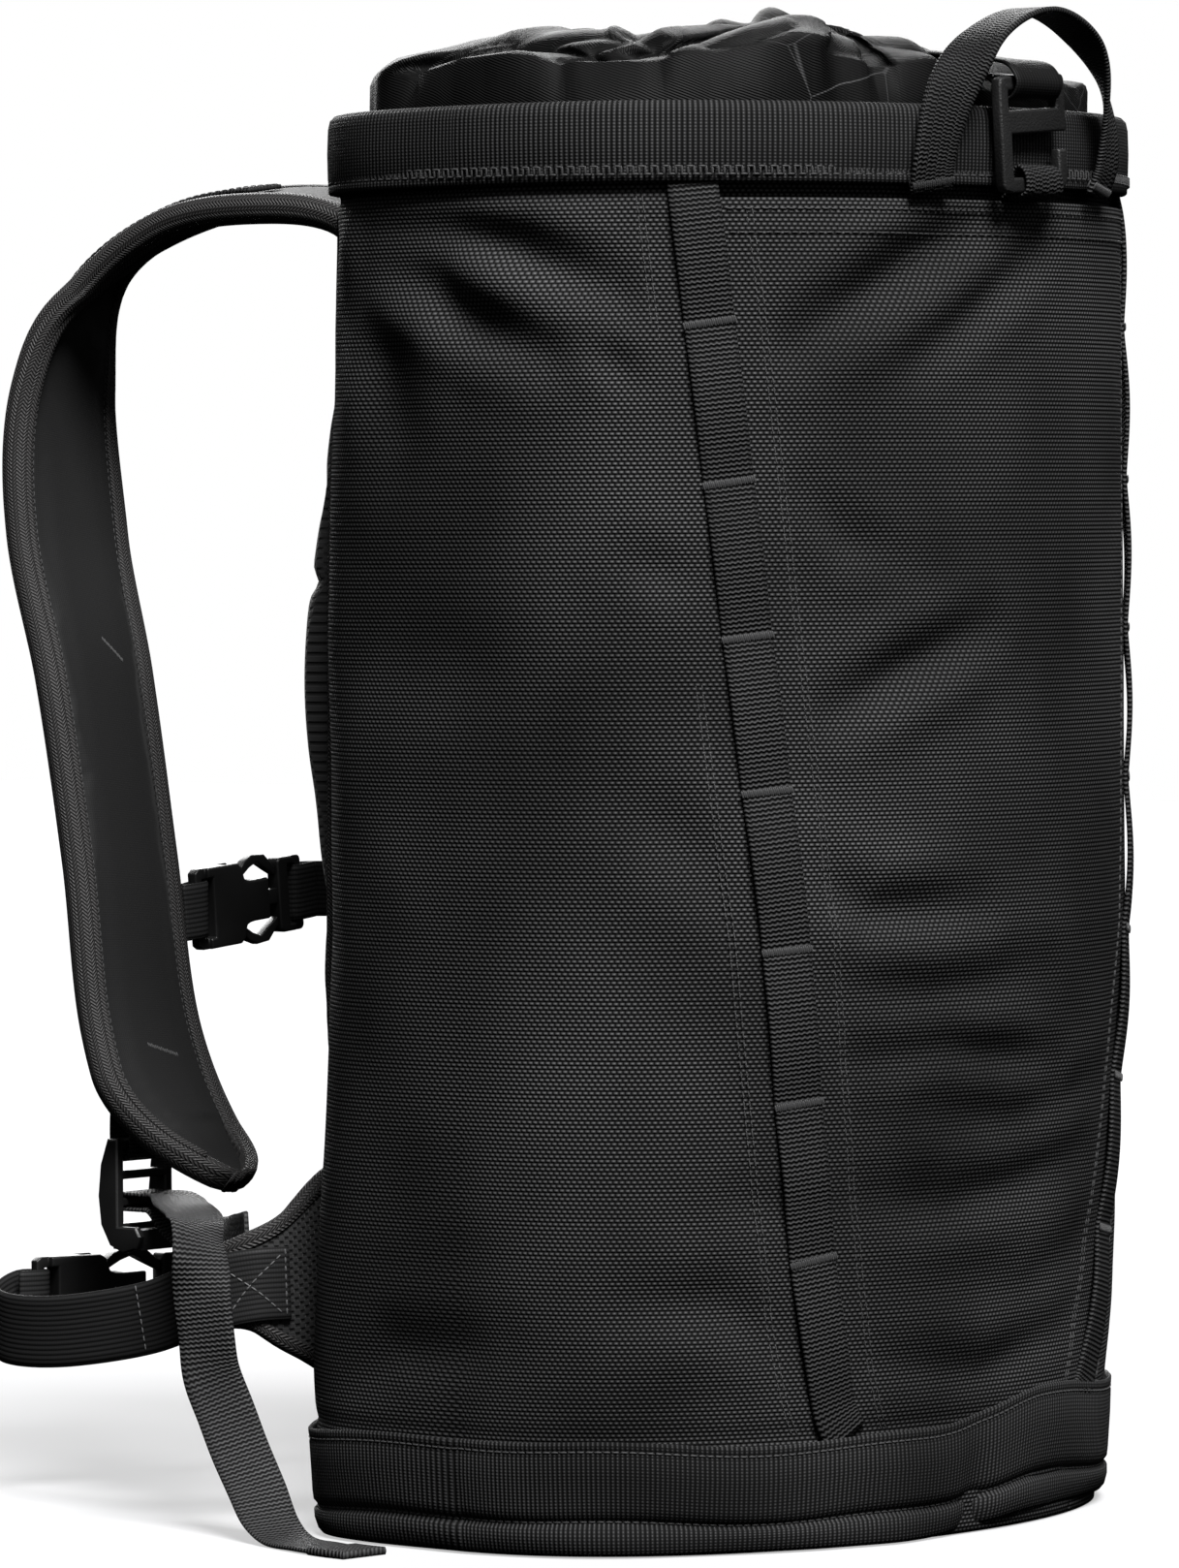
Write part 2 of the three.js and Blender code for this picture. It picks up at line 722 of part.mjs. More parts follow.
// Webbing sewn down the middle of the strap's outer face.
function strapWebbing(side) {
  const out = STRAP_PAD / 2 + 4 * GAP + WEB / 2;
  const along = frames(strapPath(side), strapBreadths(side), STRAP_STEPS).slice(4, 23);
  const away = along[8].normal.y < 0 ? -1 : 1;
  return loft(
    along.map((f) => {
      const w = NARROW_WEB / 2;
      const [low, high] = [away * (out - WEB / 2), away * (out + WEB / 2)];
      return [
        offsetPoint(f, -w, high),
        offsetPoint(f, w, high),
        offsetPoint(f, w, low),
        offsetPoint(f, -w, low),
      ];
    }),
  );
}

// ---- Ladder locks and adjusters ----

const LADDER = { x: 100, y: 190.6, z: 111 }; // middle of the lock's frame
const LADDER_PIVOT = 15; // top bar above the middle
const LADDER_THICK = 5;
const ladderPoint = (side, y, z) => vec(side * LADDER.x, LADDER.y + y, LADDER.z + z);

// A lock's cheek seen from the side: it bows away from the back and turns in under the bars.
const CHEEK = [
  [-2.5, 17.2],
  [2.2, 17.2],
  [5.6, 8],
  [6.8, -3],
  [5.6, -13],
  [1.5, -20],
  [-5, -22.6],
  [-11, -21],
  [-13, -16.5],
  [-11, -13.4],
  [-2.5, -13.4],
];
const CHEEK_THICK = 3.2;

// Three slots between four bars: the loop hangs from the top bar, and the adjuster turns round
// the third. The cheeks and the deep bottom lip are there to lift it by.
function ladderLock(side) {
  const halfWidth = 14.5;
  const frame = roundedRect(-halfWidth, -18, halfWidth, 17.2, 3);
  const half = NARROW_WEB / 2 + 0.6;
  frame.holes.push(slotHole(-half, 6, half, 13));
  frame.holes.push(slotHole(-half, -3.5, half, 3));
  frame.holes.push(slotHole(-half, -12.5, half, -6.5));
  const body = plate(frame, LADDER_THICK).rotateX(Math.PI / 2);
  const outline = new THREE.Shape(CHEEK.map(([y, z]) => new THREE.Vector2(y, z)));
  const cheeks = [-1, 1].map((end) =>
    plate(outline, CHEEK_THICK)
      .rotateX(Math.PI / 2)
      .rotateZ(Math.PI / 2)
      .translate(end * (halfWidth - CHEEK_THICK / 2), 0, 0),
  );
  const lip = block(-half - 1, half + 1, -11, 2, -21.5, -14.5);
  return join(body, ...cheeks, lip).translate(side * LADDER.x, LADDER.y, LADDER.z);
}

function ladderLoop(side) {
  const bar = LADDER_PIVOT;
  const path = [
    vec(side * 97, 198.6, 164),
    vec(side * 98, 195.2, 153),
    ladderPoint(side, 4.5, bar + 9),
    ladderPoint(side, 4.5, bar + 1),
    ladderPoint(side, 3.6, bar - 3.4),
    ladderPoint(side, 0, bar - 5.3),
    ladderPoint(side, -3.6, bar - 3.4),
    ladderPoint(side, -4.5, bar + 1),
    ladderPoint(side, -4.6, bar + 8),
    ladderPoint(side, -4.6, bar + 13),
  ];
  return ribbon(path, ACROSS_X, NARROW_WEB, { steps: 22, thickness: 1.3 });
}

// The turn of webbing round the lock's third bar, which tilts with the lock.
const WRAP_END = -9;
const WRAP_LOW = -7.6;
const WRAP_HIGH = -2.4;

function adjusterWrap(side) {
  const path = [
    ladderPoint(side, WRAP_END, WRAP_LOW),
    ladderPoint(side, 0, WRAP_LOW),
    ladderPoint(side, 2.4, WRAP_LOW + 0.05),
    ladderPoint(side, 4, WRAP_LOW + 1.2),
    ladderPoint(side, 4, WRAP_HIGH - 1.2),
    ladderPoint(side, 2.4, WRAP_HIGH - 0.05),
    ladderPoint(side, 0, WRAP_HIGH),
    ladderPoint(side, WRAP_END, WRAP_HIGH),
  ];
  return ribbon(path, ACROSS_X, NARROW_WEB, { steps: 18, thickness: 1.3 });
}

// From the lock down to the top corner of the hip wing, with a quarter twist on the way.
function adjuster(side) {
  const path = [
    ladderPoint(side, WRAP_END - GAP, WRAP_LOW),
    ladderPoint(side, WRAP_END - 3, WRAP_LOW),
    vec(side * 102, 168, 98.5),
    vec(side * 108, 150, 95),
    vec(side * 117, 132, 95),
    vec(side * 124, 118.5, 97),
  ];
  const across = [
    vec(1, 0, 0),
    vec(1, 0, 0),
    vec(0.95, 0, side * -0.3),
    vec(0.7, 0, side * -0.7),
    vec(0.2, 0, side * -1),
    vec(0, 0, side * -1),
  ];
  return ribbon(path, across, NARROW_WEB, { steps: 16 });
}

// The free tail of the right side: over the hip belt, down and on to the floor. Each point has
// the heading of the webbing's breadth, in degrees from +X.
const TAIL_PATH = [
  [100.3, 176, 108.5, 0],
  [103, 170, 107.6, 0],
  [110, 162, 106.5, 12],
  [121, 149, 106, 20],
  [134, 134, 105, 5],
  [145, 123, 102, 0],
  [151, 116, 93, 25],
  [152.5, 114, 80, 60],
  [152.5, 112, 66, 66],
  [152.5, 110, 54, 60],
  [153, 103, 41, 52],
  [155, 95, 29, 50],
  [158, 85, 17, 45],
  [162, 75, 6.5, 32],
  [166, 64, 1.6, 22],
  [172, 46, 1.2, 14],
  [176, 30, 1.2, 10],
  [177, 20, 1.2, 8],
];

function adjusterTail(side) {
  const start = [WRAP_END - GAP, WRAP_END - 2].map((y) => ladderPoint(side, y, WRAP_HIGH));
  const path = [...start, ...TAIL_PATH.map(([x, y, z]) => vec(side * x, y, z))];
  const breadths = TAIL_PATH.map(([, , , heading]) => {
    const turn = degToRad(heading);
    return vec(Math.cos(turn), side * Math.sin(turn), 0);
  });
  const across = [ACROSS_X, ACROSS_X, ...breadths];
  return ribbon(path, across, NARROW_WEB, { steps: 46, thickness: 1.5 });
}

// ---- Side release buckles ----

// Built along +X from the housing's webbing bar at x = 0 to the insert's at x = length, with
// +Y across and Z through the thickness. `k` scales the length and `web` is the webbing width.
function releaseBuckle(k, web, thickness) {
  const length = 56 * k;
  const across = web / 2 + 4.5;
  const mouth = 37 * k;
  const base = 43 * k;
  const waist = web / 2 - 2.6;
  const slot = web / 2 + 0.6;
  const barThickness = 4;
  const reach = 20 * k;

  const outer = new THREE.Shape();
  outer.moveTo(0, -across + 1.5);
  outer.lineTo(0, across - 1.5);
  outer.lineTo(2, across);
  outer.lineTo(21 * k, across);
  outer.quadraticCurveTo(23.5 * k, across, 24.5 * k, waist + 1);
  outer.quadraticCurveTo(26 * k, waist, 29 * k, waist);
  outer.lineTo(mouth, waist);
  outer.lineTo(mouth, -waist);
  outer.lineTo(29 * k, -waist);
  outer.quadraticCurveTo(26 * k, -waist, 24.5 * k, -waist - 1);
  outer.quadraticCurveTo(23.5 * k, -across, 21 * k, -across);
  outer.lineTo(2, -across);
  outer.holes.push(slotHole(3.2, -slot, 7.6, slot));
  const thin = (x0, x1) => [
    block(x0, x1, -across - 1, across + 1, barThickness / 2, thickness),
    block(x0, x1, -across - 1, across + 1, -thickness, -barThickness / 2),
  ];
  const hollow = thickness / 2 - 1.5;
  const throat = block(12 * k, mouth + 1, -3.4, 3.4, -hollow, hollow);
  const pocket = block(15 * k, 30 * k, -across - 1, across + 1, -hollow, hollow);
  const housing = cut(plate(outer, thickness), throat, pocket, ...thin(-1, 5));

  const head = roundedRect(base, -across + 1, length, across - 1, 2);
  head.holes.push(slotHole(length - 7.6, -slot, length - 3.2, slot));
  const tongue = block(16 * k, base + 1.5, -2.6, 2.6, -hollow + 0.5, hollow - 0.5);
  const insert = cut(
    join(plate(head, thickness - 1.6), tongue),
    ...thin(length - 5, length + 1),
  );

  // An arm bows outward past the housing's waist, and its tip latches behind the shoulder.
  const armRoot = web / 2 - 1;
  const armShape = (side) => {
    const y = (v) => side * v;
    const arm = new THREE.Shape();
    arm.moveTo(base - GAP, y(armRoot + 1.6));
    arm.quadraticCurveTo(base - 5 * k, y(across + 3.4), base - 12 * k, y(across + 1.6));
    arm.quadraticCurveTo(base - 17 * k, y(across + 0.4), base - reach + 1, y(across - 2.8));
    arm.lineTo(base - reach - 1, y(across - 5));
    arm.lineTo(base - reach + 2, y(across - 5.6));
    arm.quadraticCurveTo(base - 14 * k, y(across - 2.4), base - 10 * k, y(across - 1.4));
    arm.quadraticCurveTo(base - 5 * k, y(armRoot + 1), base - GAP, y(armRoot - 1.6));
    return arm;
  };
  const armThickness = 2 * hollow - 0.8;
  const arm = (side) => plate(armShape(side), armThickness, 0.4);
  return { length, base, armRoot, housing, insert, armUp: arm(1), armDown: arm(-1) };
}

const BAR_MIDDLE = 1.6; // from a buckle's end to the middle of its webbing bar

// Route of webbing that reaches a buckle's bar at `bar`, turns through its slot and comes back.
function eyeTurn(bar, along, normal) {
  const at = (a, n) => bar.clone().addScaledVector(along, a).addScaledVector(normal, n);
  const turn = [
    [-14, 1.4],
    [-6, 2.9],
    [0, 3.2],
    [2.6, 2.5],
    [3.3, 0],
    [2.6, -2.5],
    [0, -3.2],
    [-5, -2.9],
    [-9, -2.2],
  ];
  return turn.map(([a, n]) => at(a, n));
}

// ---- Sternum strap ----

const STERNUM = { x: -50, y: 209.5, z: 205, tilt: degToRad(-5) };
const sternumBuckle = releaseBuckle(1, NARROW_WEB, 7.4);

// ---- Hip belt ----

const HIP = { x: -104, y: 238, z: 67, turn: degToRad(-15) };
const hipBuckle = releaseBuckle(1.2, WIDE_WEB, 9);

// Puts a buckle's geometry in the bag's frame: its length runs level, `turn` from +X, its
// breadth runs up, and it is tilted about its thickness.
function placement(place) {
  const group = new THREE.Group();
  group.position.set(place.x, place.y, place.z);
  group.rotation.set(0, 0, place.turn ?? 0);
  const lean = new THREE.Group();
  lean.rotation.set(Math.PI / 2, 0, 0);
  const tilt = new THREE.Group();
  tilt.rotation.set(0, 0, -(place.tilt ?? 0));
  group.add(lean);
  lean.add(tilt);
  group.updateMatrixWorld(true);
  return { group, tilt };
}

function placedPoint(tilt, x, y, z) {
  return tilt.localToWorld(vec(x, y, z));
}

function barRoute(tilt, length, end) {
  const middle = end === 0 ? BAR_MIDDLE : length - BAR_MIDDLE;
  const bar = placedPoint(tilt, middle, 0, 0);
  const along = placedPoint(tilt, middle + (end === 0 ? 1 : -1), 0, 0).sub(bar);
  const normal = placedPoint(tilt, middle, 0, -1).sub(bar);
  return eyeTurn(bar, along, normal);
}

function sternumWebbing(side, tilt) {
  const end = side < 0 ? 0 : 1;
  const strapSide = [vec(side * 94, 214.8, 210), vec(side * 70, 213.4, 208.5)];
  const route = [...strapSide, ...barRoute(tilt, sternumBuckle.length, end).slice(1)];
  return ribbon(route, vec(0, 0, 1), NARROW_WEB, { steps: 32, thickness: 1.3 });
}

// The padded wing, sewn to the back panel's lower corner, narrows to the belt webbing.
function hipWing(side) {
  const path = [
    vec(side * 70, 104.5, 85),
    vec(side * 98, 102.5, 84),
    vec(side * 118, 104, 83),
    vec(side * 129, 112.5, 83),
    vec(side * 133, 126, 81),
  ];
  const thickness = 5;
  return loft(
    frames(path, vec(0, 0, 1), 12).map((f) => {
      const top = lerp(38, 14, smoothstep(f.t, 0.3, 0.95));
      const bottom = lerp(-36, -14, smoothstep(f.t, 0.3, 0.95));
      return [
        offsetPoint(f, bottom, thickness / 2),
        offsetPoint(f, top, thickness / 2),
        offsetPoint(f, top, -thickness / 2),
        offsetPoint(f, bottom, -thickness / 2),
      ];
    }),
  );
}

function hipWebbing(side, tilt) {
  const wing = [
    vec(side * 121.5, 101.5, 83),
    vec(side * 131.4, 108.6, 82.5),
    vec(side * 137, 120, 80),
    vec(side * 138.5, 132, 76),
  ];
  const nearSide = [
    vec(-138.6, 150, 70),
    vec(-136, 190, 63),
    vec(-131.5, 217, 61),
    vec(-126, 233, 61.5),
    vec(-120.5, 240, 63),
  ];
  const farSide = [vec(122, 154, 75), vec(60, 184, 73), vec(10, 205, 71)];
  const end = side < 0 ? 0 : 1;
  const turn = barRoute(tilt, hipBuckle.length, end).slice(side < 0 ? 1 : 0);
  const route = [...wing, ...(side < 0 ? nearSide : farSide), ...turn];
  return ribbon(route, vec(0, 0, 1), WIDE_WEB, { steps: 48, thickness: 1.3 });
}

// ---- Assembly ----

const root = new THREE.Group();

function add(name, geometry, finish, parent = root) {
  const mesh = new THREE.Mesh(geometry, finish);
  mesh.name = name;
  parent.add(mesh);
  return mesh;
}

add("side_panel_left", sidePanel(-1), ballistic());
add("side_panel_right", sidePanel(1), ballistic());
add("back_panel", backPanel(), ballistic());
add("front_wall", frontWall(), ballistic());
add("front_pocket_panel", pocketPanel(), ballistic());
add("floor_panel", floorSheet(0, 3, FLOOR_INSET), ballistic());
add("floor_stiffener", floorSheet(3.4, 6.4, FLOOR_INSET + 3), plastic());
add("base_webbing", baseWebbing(), webbing());
add("rim_webbing", rimWebbing(), webbing());
add("frame_sheet", frameSheet(), plastic());
add("back_pad", backPad(), padding());
add("collar", collar(), shell());
add("drawcord_ring", drawcordRing(), webbing());
add("drawcord_tail", drawcordTail(), webbing());
add("cord_lock_barrel", lockBarrel(), plastic());
add("cord_lock_plunger", lockPlunger(), plastic());
add("cord_lock_spring", lockSpring(), steel());
add("haul_loop", haulLoop(), webbing());
add("keeper_loop", keeperLoop(), webbing());
add("top_hook", topHook(), plastic());
add("top_strap", topStrap(), webbing());

function addBuckle(prefix, buckle, place) {
  const { group, tilt } = placement(place);
  root.add(group);
  add(`${prefix}_buckle_housing`, buckle.housing, plastic(), tilt);
  add(`${prefix}_buckle_insert`, buckle.insert, plastic(), tilt);
  add(`${prefix}_buckle_arm_upper`, buckle.armUp, plastic(), tilt);
  add(`${prefix}_buckle_arm_lower`, buckle.armDown, plastic(), tilt);
  return tilt;
}

const sternumTilt = addBuckle("sternum", sternumBuckle, STERNUM);
const hipTilt = addBuckle("hip", hipBuckle, HIP);

for (const [side, word] of [
  [-1, "left"],
  [1, "right"],
]) {
  add(`daisy_chain_${word}`, daisyChain(side), webbing());
  add(`shoulder_strap_${word}`, shoulderStrap(side), padding());
  add(`strap_webbing_${word}`, strapWebbing(side), webbing());
  add(`ladder_loop_${word}`, ladderLoop(side), webbing());
  add(`ladder_lock_${word}`, ladderLock(side), plastic());
  add(`adjuster_wrap_${word}`, adjusterWrap(side), webbing());
  add(`adjuster_webbing_${word}`, adjuster(side), webbing());
  add(`adjuster_tail_${word}`, adjusterTail(side), webbing());
  add(`sternum_webbing_${word}`, sternumWebbing(side, sternumTilt), webbing());
  add(`hip_wing_${word}`, hipWing(side), padding());
  add(`hip_webbing_${word}`, hipWebbing(side, hipTilt), webbing());
}

export default root;
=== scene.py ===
"""The looks of a rope storage bag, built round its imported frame.

Shapes are worked out in millimetres, in the frame's own axes: +Z up, -Y out of the bag's front,
+Y towards the wearer and -X to the wearer's left. A piece is scaled to metres as it is made.
"""

import math

import bmesh
import bpy
import numpy as np
from mathutils import Matrix, Vector, noise


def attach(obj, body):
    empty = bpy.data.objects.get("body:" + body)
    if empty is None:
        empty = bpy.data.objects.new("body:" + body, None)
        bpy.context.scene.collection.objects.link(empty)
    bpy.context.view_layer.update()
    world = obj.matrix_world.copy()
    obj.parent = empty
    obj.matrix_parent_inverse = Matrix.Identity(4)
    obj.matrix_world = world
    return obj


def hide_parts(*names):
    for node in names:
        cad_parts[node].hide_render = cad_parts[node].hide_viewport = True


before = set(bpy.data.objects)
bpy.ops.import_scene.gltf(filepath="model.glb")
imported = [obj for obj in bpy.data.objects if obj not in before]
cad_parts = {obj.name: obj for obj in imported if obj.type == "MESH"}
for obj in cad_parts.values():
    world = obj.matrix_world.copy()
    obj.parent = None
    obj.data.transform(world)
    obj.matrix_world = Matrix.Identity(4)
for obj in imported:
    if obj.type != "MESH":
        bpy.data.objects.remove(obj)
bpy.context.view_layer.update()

MM = 0.001
LEFT, RIGHT = -1, 1
SIDES = ((LEFT, "left"), (RIGHT, "right"))

# ---- Dimensions shared with the frame, in millimetres ----

BAG_HEIGHT = 480
RIM_BAND = 26.5
BASE_BAND = 38
SEAM_TOP = BAG_HEIGHT - RIM_BAND
POCKET_TOP = SEAM_TOP - 5
FABRIC = 3
NARROW_WEB = 20
CHAIN_WEB = 17
WIDE_WEB = 25
BACK_SEAM_X = 122
FRONT_SQUARE = 2.05
# Height, half width, depth to the front, depth to the back, squareness of the back.
STATIONS = np.array(
    [(0, 148, 100, 98, 4), (38, 151, 104, 101, 4), (205, 149, 120, 101, 3.3), (480, 146, 121, 101, 3)],
    float,
)
HALF, FRONT, BACK, SQUARE = 1, 2, 3, 4

# The viewpoint: its place in metres, its yaw, pitch and roll in degrees, and its lens.
CAMERA_AT = (-2.3749, -1.9043, 0.3461)
CAMERA_TURN = (50.295, 1.773, -0.4055)
CAMERA_LENS = 203.04


# ---- Small helpers ----


def smoothstep(x, low, high):
    t = np.clip((np.asarray(x, float) - low) / (high - low), 0, 1)
    return t * t * (3 - 2 * t)


def unit(v):
    v = np.asarray(v, float)
    return v / np.maximum(np.linalg.norm(v, axis=-1, keepdims=True), 1e-9)


SPAN_STEPS = 12


def spline(points):
    """A centripetal curve through the points, as the frame draws its routes."""
    p = np.asarray(points, float)
    ends = np.vstack([2 * p[0] - p[1], p, 2 * p[-1] - p[-2]])
    t = np.linspace(0, 1, SPAN_STEPS, endpoint=False)[:, None]
    spans = []
    for p0, p1, p2, p3 in zip(ends, ends[1:], ends[2:], ends[3:]):
        d0, d1, d2 = (max(np.linalg.norm(b - a) ** 0.5, 1e-4) for a, b in ((p0, p1), (p1, p2), (p2, p3)))
        start = ((p1 - p0) / d0 - (p2 - p0) / (d0 + d1) + (p2 - p1) / d1) * d1
        finish = ((p2 - p1) / d1 - (p3 - p1) / (d1 + d2) + (p3 - p2) / d2) * d1
        square = -3 * p1 + 3 * p2 - 2 * start - finish
        cube = 2 * p1 - 2 * p2 + start + finish
        spans.append(p1 + start * t + square * t**2 + cube * t**3)
    return np.vstack([*spans, p[-1:]])


class Route:
    """A path sampled evenly, with the breadth and face directions of a webbing that follows it."""

    def __init__(self, points, across, step=2.0):
        points = np.asarray(points, float)
        fine = spline(points)
        across = np.asarray(across, float)
        wide = spline(across) if across.ndim == 2 else np.tile(across, (len(fine), 1))
        run = np.concatenate([[0], np.cumsum(np.linalg.norm(np.diff(fine, axis=0), axis=1))])
        count = max(3, int(round(run[-1] / step)) + 1)
        self.length = run[-1]
        self.s = np.linspace(0, run[-1], count)
        self.share = self.s / self.length
        self.at = np.stack([np.interp(self.s, run, fine[:, k]) for k in range(3)], axis=1)
        wide = np.stack([np.interp(self.s, run, wide[:, k]) for k in range(3)], axis=1)
        self.tangent = unit(np.gradient(self.at, axis=0))
        along = (wide * self.tangent).sum(1, keepdims=True)
        self.wide = unit(wide - along * self.tangent)
        self.normal = np.cross(self.tangent, self.wide)

    def offset(self, side, out):
        """Points at a distance across the breadth and out of the face, each a number or a row."""
        side = np.broadcast_to(np.asarray(side, float), self.s.shape)
        out = np.broadcast_to(np.asarray(out, float), self.s.shape)
        return self.at + self.wide * side[:, None] + self.normal * out[:, None]


def new_object(name, mesh, material, body):
    mesh.materials.append(material)
    obj = bpy.data.objects.new(name, mesh)
    bpy.context.scene.collection.objects.link(obj)
    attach(obj, body)
    return obj


def set_weave(mesh, places):
    """Stores each point's place across and along the cloth, for the materials."""
    layer = mesh.attributes.new("weave", "FLOAT_VECTOR", "POINT")
    layer.data.foreach_set("vector", np.asarray(places, np.float32).ravel())


def weave_rings(across, route):
    """The weave of a section swept along a route, from each section point's place across."""
    u = np.tile(across, (len(route.s), 1))
    v = np.tile(route.s[:, None], (1, len(across)))
    return np.stack([u, v, 0 * u], axis=-1)


def make_piece(name, points, faces, weave, material, slot, body="bag", stands_for=()):
    """A smooth mesh from points in millimetres. `weave` holds each point's place on the cloth."""
    mesh = bpy.data.meshes.new(name)
    points = np.asarray(points, float)
    mesh.from_pydata((points * MM).tolist(), [], faces.tolist() if isinstance(faces, np.ndarray) else faces)
    set_weave(mesh, weave)
    mesh.polygons.foreach_set("use_smooth", [True] * len(mesh.polygons))
    mesh.update()
    obj = new_object(name, mesh, material, body)
    if stands_for:
        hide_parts(*stands_for)
    return obj


def signed_volume(points, quads):
    a, b, c, d = (points[quads[:, k]] for k in range(4))
    return (np.cross(a, b) * c).sum() + (np.cross(a, c) * d).sum()


def loft(name, rings, weave, material, slot, closed=False, **options):
    """A closed solid from rings of points, `rings` being an array of ring, point, coordinate."""
    rings = np.asarray(rings, float)
    count, size = rings.shape[:2]
    weave = np.broadcast_to(np.asarray(weave, float), rings.shape)
    ids = np.arange(count * size).reshape(count, size)
    here = ids if closed else ids[:-1]
    ahead = np.roll(ids, -1, axis=0) if closed else ids[1:]
    quads = np.stack([here, np.roll(here, -1, 1), np.roll(ahead, -1, 1), ahead], axis=-1).reshape(-1, 4)
    points = rings.reshape(-1, 3)
    if not closed:
        half = size // 2
        i = np.arange(half - 1)
        back = size - 1 - i
        first = np.stack([back, back - 1, i + 1, i], axis=-1)
        last = (count - 1) * size + np.stack([i, i + 1, back - 1, back], axis=-1)
        quads = np.vstack([quads, first, last])
    if signed_volume(points, quads) < 0:
        quads = quads[:, ::-1]
    return make_piece(name, points, quads, weave.reshape(-1, 3), material, slot, **options)


# ---- The bag's surface ----


def station(z, *columns):
    """Measures of the bag at a height, each named by its column in STATIONS."""
    return [np.interp(z, STATIONS[:, 0], STATIONS[:, k]) for k in columns]


def skin(z, angle, out=0.0):
    """Points of the bag's surface at heights and angles, and `out` outside it."""
    z, angle, out = np.broadcast_arrays(np.asarray(z, float), angle, out)
    half, front, back, square = station(z, HALF, FRONT, BACK, SQUARE)
    c, d = np.cos(angle), np.sin(angle)
    n = np.where(d < 0, FRONT_SQUARE, square)
    depth = np.where(d < 0, front, back)
    u, v = np.abs(c) ** (2 / n), np.abs(d) ** (2 / n)
    x, y = np.sign(c) * u * half, np.sign(d) * v * depth
    slope_x, slope_y = np.sign(c) * u ** (n - 1) / half, np.sign(d) * v ** (n - 1) / depth
    normal = unit(np.stack([slope_x, slope_y, 0 * z], -1))
    return np.stack([x, y, z], -1) + normal * out[..., None]


def outward(z, angle):
    """The bag's outward direction, 1 mm long."""
    return skin(z, angle, 1) - skin(z, angle, 0)


TURNS = np.radians(np.linspace(-360, 360, 14401))
GIRTH = np.concatenate([[0], np.cumsum(np.linalg.norm(np.diff(skin(240, TURNS), axis=0), axis=1))])


def girth(angle):
    """Distance round the bag at an angle, which the cloth's pattern follows."""
    return np.interp(angle, TURNS, GIRTH)


def angle_at(distance):
    return np.interp(distance, GIRTH, TURNS)


def seam_x(z):
    rise = np.clip((np.minimum(z, SEAM_TOP) - BASE_BAND) / (SEAM_TOP - BASE_BAND), 0, None)
    return 64.6 + 52 * rise**0.6


def front_seam(z):
    (half,) = station(z, HALF)
    return np.arccos((seam_x(z) / half) ** (FRONT_SQUARE / 2))


def back_seam(z):
    half, square = station(z, HALF, SQUARE)
    return np.arccos((BACK_SEAM_X / half) ** (square / 2))


# Creases of the loaded cloth: (angle in degrees, height) points, then depth and width.
CREASES = [
    ([(-196, 446), (-182, 441), (-170, 433), (-154, 418)], 4.6, 10),
    ([(-196, 430), (-182, 421), (-175, 408), (-165, 399)], 4.2, 10),
    ([(-200, 412), (-191, 396), (-188, 362)], 3.2, 13),
    ([(-158, 402), (-151, 389)], 1.2, 6),
    ([(-99, 441), (-111, 425), (-127, 401)], 4.0, 10),
    ([(-84, 436), (-96, 414), (-108, 396)], 1.8, 8),
    ([(-97, 306), (-110, 293), (-121, 279)], 3.4, 9),
    ([(-125, 352), (-119, 336), (-112, 330)], 1.6, 8),
    ([(-125, 226), (-116, 212), (-98, 213)], 3.0, 9),
    ([(-119, 192), (-106, 183), (-84, 190)], 1.5, 9),
    ([(-117, 164), (-102, 166), (-80, 158)], 1.9, 7),
    ([(-104, 146), (-90, 139), (-66, 151)], 1.3, 8),
    ([(-116, 119), (-100, 113), (-72, 126)], 1.9, 9),
    ([(-98, 88), (-84, 80), (-60, 98)], 1.1, 10),
    ([(-113, 62), (-92, 54), (-66, 72)], 1.8, 9),
    ([(-124, 70), (-136, 84), (-150, 84)], 2.0, 10),
    ([(-122, 112), (-133, 120)], 1.4, 7),
    ([(-193, 52), (-186, 66), (-172, 70)], 1.6, 10),
    ([(-196, 300), (-178, 292), (-168, 276)], 1.2, 18),
    ([(-152, 250), (-140, 232), (-133, 214)], 1.4, 12),
    ([(-152, 330), (-141, 322)], 1.2, 8),
    ([(-20, 440), (-6, 424), (10, 392)], 3.0, 10),
    ([(-30, 300), (-12, 282), (8, 276)], 2.2, 12),
    ([(-34, 150), (-14, 138), (10, 150)], 2.2, 11),
    ([(-36, 84), (-12, 70), (16, 78)], 2.0, 10),
    ([(20, 430), (34, 402), (40, 360)], 2.0, 12),
    ([(-40, 220), (-20, 226), (2, 210)], 1.6, 12),
]


def crease_depth(distance_round, z, crease):
    points, depth, width = crease
    path = np.array([(girth(math.radians(a)), h) for a, h in points])
    lengths = np.linalg.norm(np.diff(path, axis=0), axis=1)
    total = lengths.sum()
    nearest = np.full(distance_round.shape, 1e9)
    share = np.zeros(distance_round.shape)
    before = 0.0
    for a, b, span in zip(path, path[1:], lengths):
        along = ((distance_round - a[0]) * (b[0] - a[0]) + (z - a[1]) * (b[1] - a[1])) / span**2
        t = np.clip(along, 0, 1)
        gap = np.hypot(distance_round - a[0] - t * (b[0] - a[0]), z - a[1] - t * (b[1] - a[1]))
        closer = gap < nearest
        nearest = np.where(closer, gap, nearest)
        share = np.where(closer, (before + t * span) / total, share)
        before += span
    fade = 0.35 + 0.65 * np.sin(np.pi * np.clip(share, 0.02, 0.98))
    width = 0.85 * width
    valley = np.exp(-((nearest / width) ** 2))
    shoulder = np.exp(-(((nearest - 2.0 * width) / width) ** 2))
    return fade * depth * 1.25 * (0.45 * shoulder - valley)


